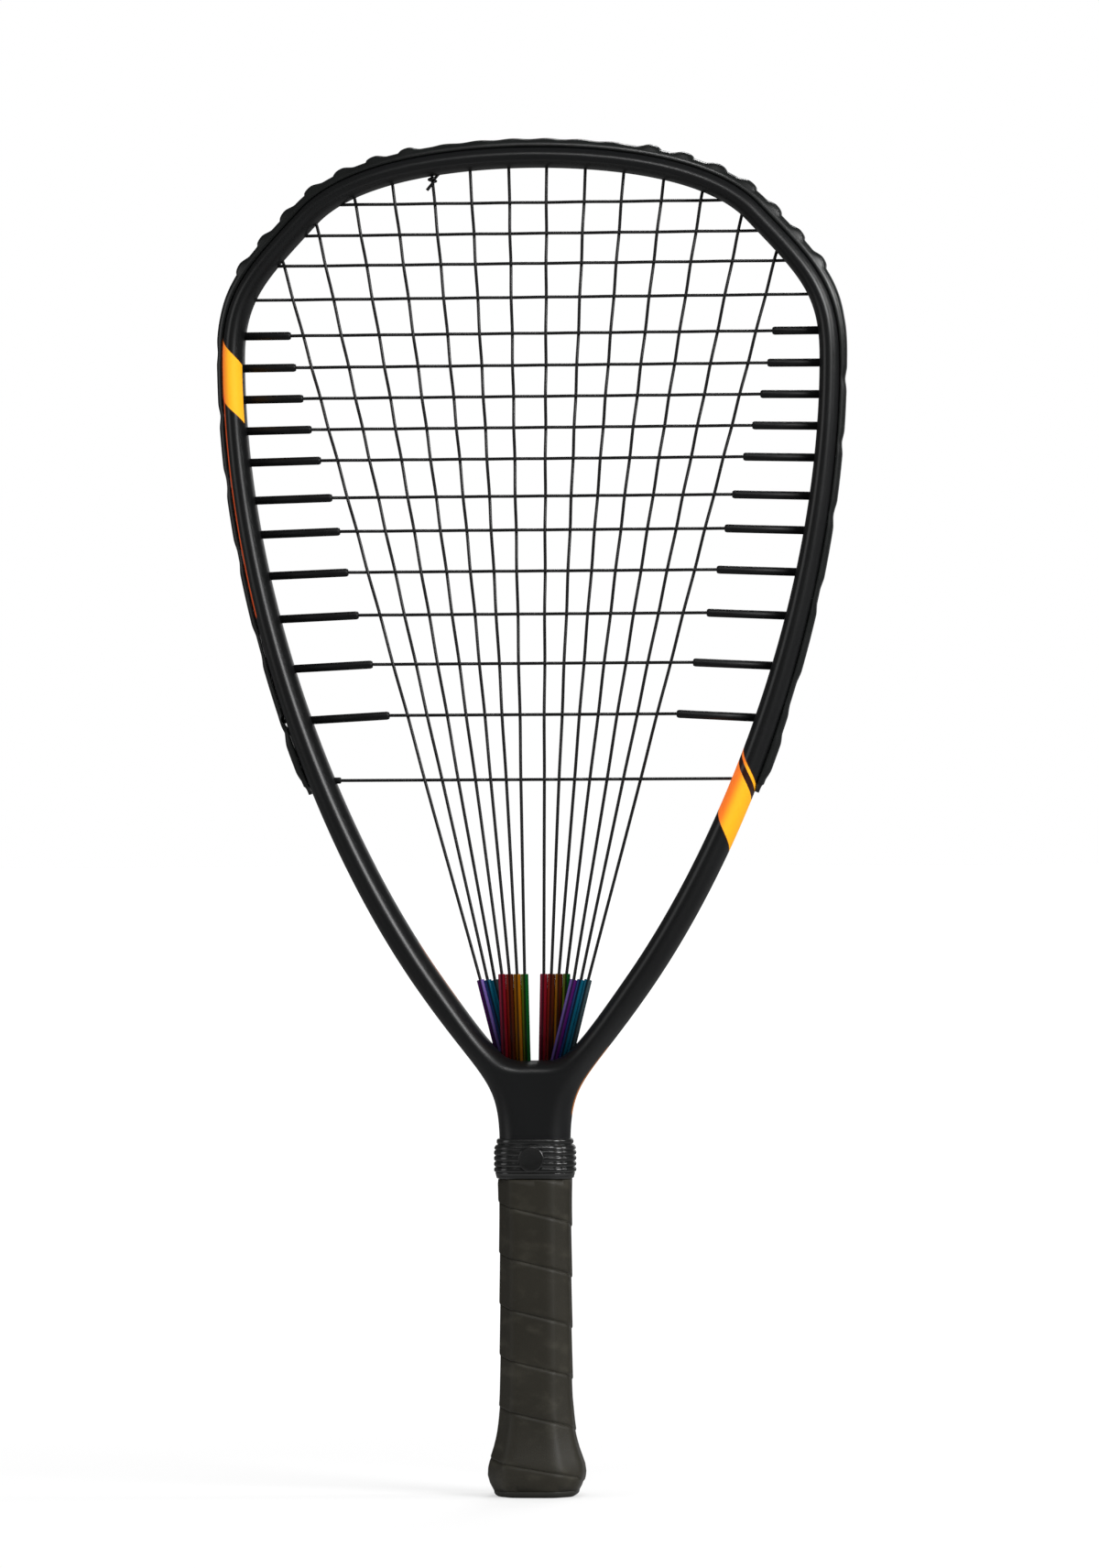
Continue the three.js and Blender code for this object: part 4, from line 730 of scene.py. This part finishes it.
tube_finish = clouded(
    "black_tube_rubber", (9, 9, 10), (18, 19, 20), (4, 2), (4, 2), 0.05, (0.38, 0.15), 0.25)
side_tubes, side_nodes = [], []
for k, row in enumerate(TUBE_ROWS):
    for side, end in crosses[row]["ends"].items():
        side_tubes.append(tube(end["tip"], seat(end), SIDE_TUBE_RADIUS))
        side_nodes.append(f"side_tube_{'left' if side < 0 else 'right'}_{k + 1:02d}")
piece("side_tubes", *together(side_tubes), tube_finish, side_nodes, "side_tube")

lowest = crosses[-1]["ends"][-1]
sleeve = tube(lowest["entry"] - lowest["through"] * SLEEVE_REACH, seat(lowest), SLEEVE_RADIUS, 0.5)
piece("end_sleeve", *sleeve, tube_finish, ["end_grommet"], "grommet")

# %% [markdown]
# ## The coloured tubes at the throat
# Fourteen tubes of clear, coloured plastic carry the mains down into the throat, side by side like a
# rainbow. Each shows one colour on its left and the next on its right, with the dark string as a line
# between them, and all grow darker towards the throat. Clear plastic would need many light paths, so the
# two colours are painted by which side of the tube's middle line a point lies on, with a little
# transparency.

# %% Throat tubes
TUBE_RADIUS = 1.56
DYES = {
    "plum": (66, 18, 84), "lilac": (98, 78, 142), "navy": (24, 48, 96), "teal": (8, 74, 96),
    "slate": (52, 66, 70), "rose": (122, 36, 56), "crimson": (98, 8, 20), "rust": (112, 26, 12),
    "umber": (60, 20, 4), "amber": (124, 76, 3), "olive": (72, 84, 10), "green": (3, 68, 22)}
TUBE_DYES = [
    "plum lilac", "navy teal", "teal slate", "rose crimson", "rust umber", "amber amber", "olive green",
    "rose crimson", "rust umber", "amber umber", "olive green", "lilac plum", "navy teal", "teal slate"]


def clear_colours(name, left, right, main):
    """Two colours either side of a tube's middle line, and a dark line between."""
    board, top, down = Board(name), main["top"], main["down"]
    x, _, z = [part * 1000.0 for part in board.parts(board.add("TexCoord", {}, output="Object"))]
    cloud = board.noise(3, 1)
    middle = float(top[0]) + (z - float(top[2])) * float(down[0] / down[2])
    aside = (x - middle) / TUBE_RADIUS
    base = board.paint(colour(*DYES[left]), colour(*DYES[right]), aside.step(-0.25, 0.25))
    base = board.paint(base, colour(5, 4, 5), abs(aside + 0.05).step(0.5, 0.1) * 0.85)
    base = board.paint(base, colour(6, 5, 6), (z - RIM_HEIGHT).step(36.0, -2.0) * 0.45)
    return board.finish(base, 0.16 + 0.08 * cloud, 0.08, cloud, 0.01, Alpha=0.97)


for i, main in enumerate(mains):
    name = f"throat_tube_{i + 1:02d}"
    shape = tube(main["top"], main_below(main, RIM_HEIGHT - FOOT_HEIGHT), TUBE_RADIUS, 0.3, 16)
    finish = clear_colours(f"clear_colours_{i + 1:02d}", *TUBE_DYES[i].split(), main)
    piece(f"clear_tube_{i + 1:02d}", *shape, finish, [name], name)

# %% [markdown]
# ## The bumper guard
# A strip of smooth black plastic is clipped over the hoop to take the knocks against the walls of the
# court. It is widest over the top, which is gently rippled, with seven small pads on each shoulder, and it
# bulges wherever a loop of string lies under it. The strip is a section carried along the outer wall, and
# its height over the wall holds the pads, the ripples, the bulges and the small tongue at each end.

# %% Bumper guard
CHANNEL_HALF = LOOP_OFFSET + STRING_RADIUS + FIT_GAP
TOP_DEPTH, TOP_RISE, TOP_LOOP_RISE = 12, 3.0, 2.85
SIDE_DEPTH, SIDE_RISE, SIDE_LOOP_RISE = 8.4, 1.75, 2.45
END_RISE, TONGUE_RISE, TONGUE_LENGTH, END_LIFT = 3.3, 1.8, 4, 1.2
PAD_PITCH, PAD_LENGTH, PAD_RISE, RIPPLE_RISE = 14, 8.3, 1.5, 0.42
PADS = 49 + PAD_PITCH * np.arange(7)
HUMP_END = abs(crosses[-1]["ends"][-1]["arc"]) + 1.65
GUARD_END = HUMP_END + TONGUE_LENGTH
SIDE_START = 0.4 * GUARD_END


def stretches(side):
    """Stretches of wall on which a side's string loops lie, as distances from the top."""
    ends = [abs(cross["ends"][side]["arc"]) for cross in crosses]
    pairs = list(zip(ends, ends[1:]))
    return pairs[::2] if side > 0 else pairs[1::2] + [(ends[-1] - TAIL, ends[-1])]


def over(arc, low, high, margin, ramp):
    """1 over a stretch and its margin, easing to 0 over the ramp on either side."""
    low, high = low - margin, high + margin
    return smooth(arc, low - ramp, low) * (1 - smooth(arc, high, high + ramp))


def pad_height(reach):
    """A scallop: an even S up, then a quarter circle down, as a share of its full height."""
    u = (reach[:, None] - (PADS - 3.4)) / PAD_LENGTH
    up = smooth(u, -0.12, 0.52)
    down = np.sqrt(np.clip(1 - ((u - 0.52) / 0.48) ** 2, 0, 1))
    return np.where((u > -0.12) & (u < 1), np.where(u < 0.52, up, down), 0).max(1)


def guard_surface(stations=1100, outside=25):
    """Rings of the strip: y across its depth, r (1 - |y/h|^p)^(1/q) off the wall, plus pads and ripples."""
    arc = np.linspace(-GUARD_END, GUARD_END, stations)
    reach = np.abs(arc)
    spot, out = wall_at(arc)
    on_side = smooth(reach, SIDE_START, 1.3 * SIDE_START)
    loops = [np.max([over(reach, a, b, 1.0, 6) for a, b in stretches(side)], axis=0) for side in (-1, 1)]
    over_loop = np.maximum(1 - smooth(reach, SIDE_START, SIDE_START + 3), np.where(arc < 0, *loops))
    base = mix(TOP_RISE, SIDE_RISE, on_side)
    hump = over(reach, HUMP_END - 24, HUMP_END, -7, 9)
    loop_rise = mix(TOP_LOOP_RISE, SIDE_LOOP_RISE, on_side)
    rise = np.maximum(mix(base, loop_rise, over_loop), mix(base, END_RISE, hump))
    tongue = smooth(reach, HUMP_END, HUMP_END + 1.2)
    rise = mix(rise, TONGUE_RISE, tongue)
    lift = END_LIFT * over(-arc, HUMP_END - 29, HUMP_END - 26.5, 0, 2)
    half = mix(mix(TOP_DEPTH, SIDE_DEPTH, on_side) / 2, CHANNEL_HALF, smooth(reach, HUMP_END, GUARD_END))
    rounding, half_depth = hoop_width(spot[:, 1]) / 2, hoop_depth(spot[:, 1]) / 2

    def underside(y):
        """The wall's own rounding and a small gap."""
        return FIT_GAP + lift - rounding * (1 - superellipse(y / half_depth))

    k = np.sin(np.linspace(-np.pi / 2, np.pi / 2, outside))
    edge, corner = underside(half)[:, None], underside(CHANNEL_HALF)
    crown = (rise[:, None] - edge) * (1 - np.abs(k) ** 3.2) ** (1 / 2.2) + edge
    ripple = RIPPLE_RISE * (0.5 - 0.5 * np.cos(2 * np.pi * reach / PAD_PITCH)) * (1 - smooth(reach, 36, 43))
    flank = np.sqrt(np.clip(1 - np.abs(k / 0.86) ** 4, 0, 1))
    pad = (PAD_RISE * pad_height(reach) + ripple)[:, None] * flank
    roof = mix(corner, LOOP_RISE + STRING_RADIUS + FIT_GAP, over_loop * (1 - tongue))
    channel = np.maximum(roof, underside(0))
    channel_y = np.broadcast_to(CHANNEL_HALF * np.array([1, 1, -1, -1]), (stations, 4))
    y = np.concatenate([half[:, None] * k, channel_y], 1)
    n = np.concatenate([crown + pad, np.stack([corner, channel, channel, corner], 1)], 1)
    points = space(spot[:, None] + out[:, None] * n[..., None], y)
    return points.reshape(-1, 3), grid_faces(stations, y.shape[1], around=True)


guard_finish = clouded(
    "black_guard_plastic", (11, 12, 12), (20, 23, 22), (12, 3), (0.9, 2), 0.02, (0.26, 0.12), 0.5)
piece("guard_strip", *guard_surface(), guard_finish, ["bumper_guard"], "guard")
print(f"guard ends {GUARD_END:.0f} mm along the wall, with {len(PADS)} pads a side")

# %% [markdown]
# ## The collar
# A glossy rubber ring sits round the shaft, on top of the grip. Six ribs make it easy to roll, and a plain
# round boss sits in the middle of its front. Its section is the shaft's: flat in front and behind, with
# superellipse corners. So it is a stack of such rings, each drawn in by how deep the groove is at its
# height.

# %% Collar
GRIP_BOTTOM, GRIP_TOP = 2.6, 130.6
COLLAR_BOTTOM, COLLAR_TOP, RIBS, RIB_PITCH, GROOVE = 130.9, 147.3, 6, 2.33, 0.8
COLLAR_HALF, BORE_HALF, COLLAR_ROUND = (16.9, 13.5), (14.8, 11.1), 9.3


def shaft_section(half_width, half_depth, count=14):
    """The shaft's section for arrays of sizes: corners x = w - e (1 - cos^(2/p)), y = d sin^(2/p)."""
    a = np.linspace(0, np.pi / 2, count)
    x = half_width[:, None] - COLLAR_ROUND * (1 - np.clip(np.cos(a), 0, 1) ** (2 / EDGE_POWER))
    y = half_depth[:, None] * np.sin(a) ** (2 / EDGE_POWER)
    x, y = np.concatenate([x, -x[:, ::-1]], 1), np.concatenate([y, y[:, ::-1]], 1)
    return np.concatenate([x, x[:, -2:0:-1]], 1), np.concatenate([y, -y[:, -2:0:-1]], 1)


def collar_surface():
    """Rings up the outside, drawn in by g |u|^3.5 between the ribs, and two rings down the bore."""
    band_top = COLLAR_TOP - RIBS * RIB_PITCH
    foot = COLLAR_BOTTOM + np.array([0, 0.12, 0.4, 0.8])
    height = np.concatenate([foot, np.linspace(band_top - 0.35, COLLAR_TOP, RIBS * 12 + 3)])
    u = 2 * np.mod((height - band_top) / RIB_PITCH, 1) - 1
    inset = np.where(height < band_top, 0, GROOVE * np.abs(u) ** 3.5)
    inset[:4] = [0.5, 0.25, 0.06, 0]
    inset += 1.1 * smooth(height, COLLAR_TOP - 1.9 * RIB_PITCH, COLLAR_TOP - 0.6 * RIB_PITCH)
    inset += 0.9 * (1 - smooth(height, band_top - 1.0, band_top + 0.6))
    x, y = shaft_section(np.append(COLLAR_HALF[0] - inset, [BORE_HALF[0]] * 2),
                         np.append(COLLAR_HALF[1] - inset * 0.7, [BORE_HALF[1]] * 2))
    z = np.broadcast_to(np.append(height, [COLLAR_TOP, COLLAR_BOTTOM])[:, None], x.shape)
    return np.stack([x, y, z], -1).reshape(-1, 3), grid_faces(*x.shape, around=True, joined=True)


BOSS_PROFILE = np.array([
    [0, 5.3], [1.5, 5.3], [1.9, 5.22], [2.1, 4.95], [2.08, 4.6], [1.98, 4.35], [1.95, 4.1], [1.95, 0.4]])
boss_start = np.array([0, 1.2 - COLLAR_HALF[1], (COLLAR_BOTTOM + COLLAR_TOP) / 2])
boss = turned(BOSS_PROFILE, boss_start, boss_start - [0, 1, 0], 48, open_ends=True)
collar_finish = clouded(
    "glossy_collar_rubber", (13, 13, 13), (25, 26, 25), (6, 3), (0.7, 2), 0.005, (0.16, 0.14), 0.8)
piece("ribbed_collar", *together([collar_surface(), boss]), collar_finish, ["grip_collar"], "collar")

# %% [markdown]
# ## The grip
# The handle is an octagon wrapped in a ribbon of dark olive rubber, wound in a rising spiral. Each turn
# laps over the one below and leaves a thin seam, and hands have left faint pale smudges. The ribbon is a
# grid: along it the height rises by one pitch for each turn round the octagon, and across it the surface
# stands off the handle by less and less.

# %% Grip
GRIP_WIDTH, DEPTH_SHARE, PITCH, LAP, LOWEST_SEAM, TURNS = 28.8, 25.5 / 28.8, 21.0, 0.4, 12.0, 8
GRIP_SHARES = np.array([
    [0, 1.2], [0.015, 1.27], [0.05, 1.36], [0.085, 1.335], [0.12, 1.23], [0.155, 1.145], [0.195, 1.08],
    [0.26, 1.03], [0.36, 1], [0.85, 1], [1, 1.035]])


def octagon(corner=0.22, per_corner=7, per_flat=5):
    """A ring of half size 1: flats, and curves (1-t)^2 a + 2 t (1-t) c + t^2 b round each corner c."""
    f, s = 0.565, 0.45
    c = np.array([[1, -s], [1, s], [f, 1], [-f, 1], [-1, s], [-1, -s], [-f, -1], [f, -1]])
    a, b = mix(c, np.roll(c, 1, 0), corner), mix(c, np.roll(c, -1, 0), corner)
    t = np.linspace(0, 1, per_corner)[:, None]
    arcs = (1 - t) ** 2 * a[:, None] + 2 * t * (1 - t) * c[:, None] + t ** 2 * b[:, None]
    t = np.linspace(0, 1, per_flat + 2)[1:-1, None]
    flats = mix(b[:, None], np.roll(a, -1, 0)[:, None], t)
    return np.concatenate([arcs, flats], 1).reshape(-1, 2)


def through(knots, count=40):
    """A smooth curve through knots: stretches of cubic whose ends head along their neighbours' chord."""
    p = np.concatenate([knots[:1], knots, knots[-1:]])
    t = np.linspace(0, 1, count, endpoint=False)[:, None]
    p0, p1, p2, p3 = p[:-3, None], p[1:-2, None], p[2:-1, None], p[3:, None]
    square, cube = 2 * p0 - 5 * p1 + 4 * p2 - p3, 3 * p1 - p0 - 3 * p2 + p3
    curve = 0.5 * (2 * p1 + (p2 - p0) * t + square * t ** 2 + cube * t ** 3)
    return np.concatenate([curve.reshape(-1, 2), knots[-1:]])


grip_curve = through(GRIP_SHARES)


def grip_half(height):
    """Half the grip's width at a height."""
    share = np.clip((height - GRIP_BOTTOM) / (GRIP_TOP - GRIP_BOTTOM), 0, 1)
    return GRIP_WIDTH / 2 * np.interp(share, grip_curve[:, 0], grip_curve[:, 1])


def grip_surface():
    """The ribbon: height LOWEST_SEAM + PITCH (t + v), t in turns from the front's middle, v across it."""
    ring = octagon()
    front = np.argmin(np.abs(ring[:, 0]) + (ring[:, 1] + 1))
    ring = np.roll(np.roll(ring, -front, 0)[::-1], 1, 0)
    arcs = lengths_to(np.concatenate([ring, ring[:1]]) * [1, DEPTH_SHARE])
    t = (np.arange(TURNS)[:, None] - 2 + arcs[:-1] / arcs[-1]).ravel()
    v = np.array([0, 0.012, 0.03, 0.055, 0.1, 0.2, 0.35, 0.5, 0.65, 0.8, 0.92, 1])
    stand = LAP * np.interp(v, [0, 0.012, 0.03, 0.055, 1], [-0.5, 0.55, 0.95, 1, 0])
    height = np.clip(LOWEST_SEAM + PITCH * (t[:, None] + v), GRIP_BOTTOM, GRIP_TOP)
    stand = stand * smooth(height, GRIP_BOTTOM, GRIP_BOTTOM + 5) * smooth(GRIP_TOP - height, 0, 1.5)
    half = grip_half(height)
    x = np.tile(ring[:, 0], TURNS)[:, None] * (half + stand)
    y = np.tile(ring[:, 1], TURNS)[:, None] * (half * DEPTH_SHARE + stand)
    # Each turn's upper edge is joined to the lower edge of the turn above.
    rows, columns = height.shape
    lower = np.arange(rows - len(ring) - 1)
    upper = lower + len(ring)
    joins = [(lower + 1) * columns - 1, (lower + 2) * columns - 1, (upper + 1) * columns, upper * columns]
    points = np.stack([x, y, height], -1).reshape(-1, 3)
    return points, np.concatenate([grid_faces(rows, columns), np.stack(joins, 1)])


def grip_rubber():
    board = Board("olive_grip_rubber")
    cloud, grain, smudge = board.noise(26, 3), board.noise(0.55, 2), board.noise(9, 4, (1, 1, 0.6))
    base = board.paint(colour(29, 27, 20), colour(42, 39, 30), cloud)
    base = board.paint(base, colour(76, 73, 62), smudge.step(0.48, 0.85) * 0.28)
    return board.finish(base, 0.45 + 0.14 * cloud, 0.3, grain, 0.06)


piece("wound_grip", *grip_surface(), grip_rubber(), ["grip_wrap"], "grip")

# %% [markdown]
# ## The butt cap
# A matt plastic cap closes the handle, with a hole for the wrist cord in its floor and a neck that reaches
# up inside the grip. It is one closed band of rings: round the hole, out over the butt, up the flange and
# the neck, down the inside and back to the hole. The hole's rings are circles with as many points as the
# octagon.

# %% Butt cap


def cap_surface():
    """Rings in order: circles of a radius, then octagons of the grip's section, drawn in by an inset."""
    ring, half = octagon(), grip_half(GRIP_BOTTOM)
    lifted = lambda flat, z: np.column_stack([flat, np.full(len(ring), z)])
    circles = [(4.0, 2.0), (4.0, 0.5), (4.15, 0.15), (4.5, 0.0), (9.5, 0.0)]
    octagons = [(3.0, 0.0), (2.4, 0.0), (1.6, 0.2), (0.8, 0.7), (0.25, 1.4), (0.0, 2.5), (0.05, 2.55),
                (2.2, 2.55), (2.2, 6.0), (3.6, 6.0), (3.6, 2.0)]
    rings = [lifted(unit(ring) * radius, z) for radius, z in circles]
    rings += [lifted(ring * (half - inset) * [1, DEPTH_SHARE], z) for inset, z in octagons]
    return np.concatenate(rings), grid_faces(len(rings), len(ring), around=True, joined=True)


cap_finish = clouded(
    "matt_cap_plastic", (30, 29, 26), (42, 41, 36), (8, 3), (0.5, 2), 0.05, (0.45, 0.15), 0.3)
piece("butt_end", *cap_surface(), cap_finish, ["butt_cap"], "cap")

# %% [markdown]
# ## Floor, light and background
# The racket stands on a pale floor that runs out of sight, under a white sky. Black lacquer shows little
# but what it reflects: a broad soft light from the front right, a tall narrow one on the right, a large
# weak one on the left and two small ones above. Elsewhere a mirrored ray finds a dark studio, with a white
# backdrop only straight behind. The floor is grey to the lights and glows to the camera alone, so it looks
# white and doesn't wash out the lacquer from below. Near the butt, where the shadow falls, it is paler and
# glows less.

# %% Floor and lights
NEAR_BUTT, FAR_OFF = (0.35, 0.08), (0.25, 1.2)
SKY_GLOW, DARK_STUDIO, BACKDROP = 0.92, 0.05, (0.93, 0.985)


def pale_floor():
    board = Board("pale_floor")
    seen = board.add("LightPath", {}, output="Is Camera Ray")
    cloud = board.noise(300, 2)
    place = board.add("TexCoord", {}, output="Object")
    away = board.add("VectorMath", {"operation": "LENGTH"}, place, output=1)
    near = away.step(*NEAR_BUTT)
    base = board.paint(colour(86, 86, 86), colour(92, 92, 92), cloud)
    base = board.paint(base, colour(160, 160, 160), near)
    glow = seen * (0.84 - 0.36 * near + 0.16 * away.step(*FAR_OFF))
    return board.finish(base, 0.8, 0.1, **{
        "Emission Color": board.paint(BLACK, WHITE, glow), "Emission Strength": 1.0})


floor_mesh = bpy.data.meshes.new("floor")
floor_mesh.from_pydata([(-30, -30, 0), (30, -30, 0), (30, 30, 0), (-30, 30, 0)], [], [(0, 1, 2, 3)])
floor_mesh.materials.append(pale_floor())
floor = bpy.data.objects.new("floor", floor_mesh)
scene.collection.objects.link(floor)

sky = Board("white_sky", bpy.data.worlds)
scene.world = sky.owner
camera_ray, mirror_ray, clear_ray = (
    sky.add("LightPath", {}, output=f"Is {kind} Ray") for kind in ("Camera", "Glossy", "Transmission"))
backdrop = sky.parts(sky.add("TexCoord", {}, output="Generated"))[1].step(*BACKDROP)
mirrored = mirror_ray * (DARK_STUDIO + (1 - DARK_STUDIO) * backdrop)
seen_directly = camera_ray.most(clear_ray)
diffuse = SKY_GLOW * (1.0 - seen_directly.most(mirror_ray))
background = sky.tree.nodes["Background"].inputs
sky.link(WHITE, background["Color"])
sky.link(seen_directly.most(mirrored) + diffuse, background["Strength"])


def soft_light(name, place, size, watts, aim_height=0.35):
    """A rectangular area light turned to face a point on the racket's axis."""
    data = bpy.data.lights.new(name, "AREA")
    data.shape, data.energy = "RECTANGLE", watts
    data.size, data.size_y = size
    lamp = bpy.data.objects.new(name, data)
    turn = (Vector((0, 0, aim_height)) - Vector(place)).to_track_quat("-Z", "Y")
    lamp.matrix_world = Matrix.Translation(place) @ turn.to_matrix().to_4x4()
    scene.collection.objects.link(lamp)
    print(f"{name}: {watts} W at {place}")


soft_light("key", (1.95, -1.45, 1.45), (1.2, 1.0), 52)
soft_light("front_fill", (0.2, -1.9, 2.4), (0.6, 0.5), 16)
soft_light("right_strip", (2.0, 0.25, 1.3), (0.2, 1.2), 12)
soft_light("left_fill", (-2.2, -0.9, 0.8), (1.5, 1.6), 9)
soft_light("top_back", (0.2, 1.8, 2.1), (0.6, 0.5), 12, 0.4)

# %% [markdown]
# ## The end
# The colours are shown as they are, with no film look on top.

# %% View
scene.view_settings.view_transform = "Standard"
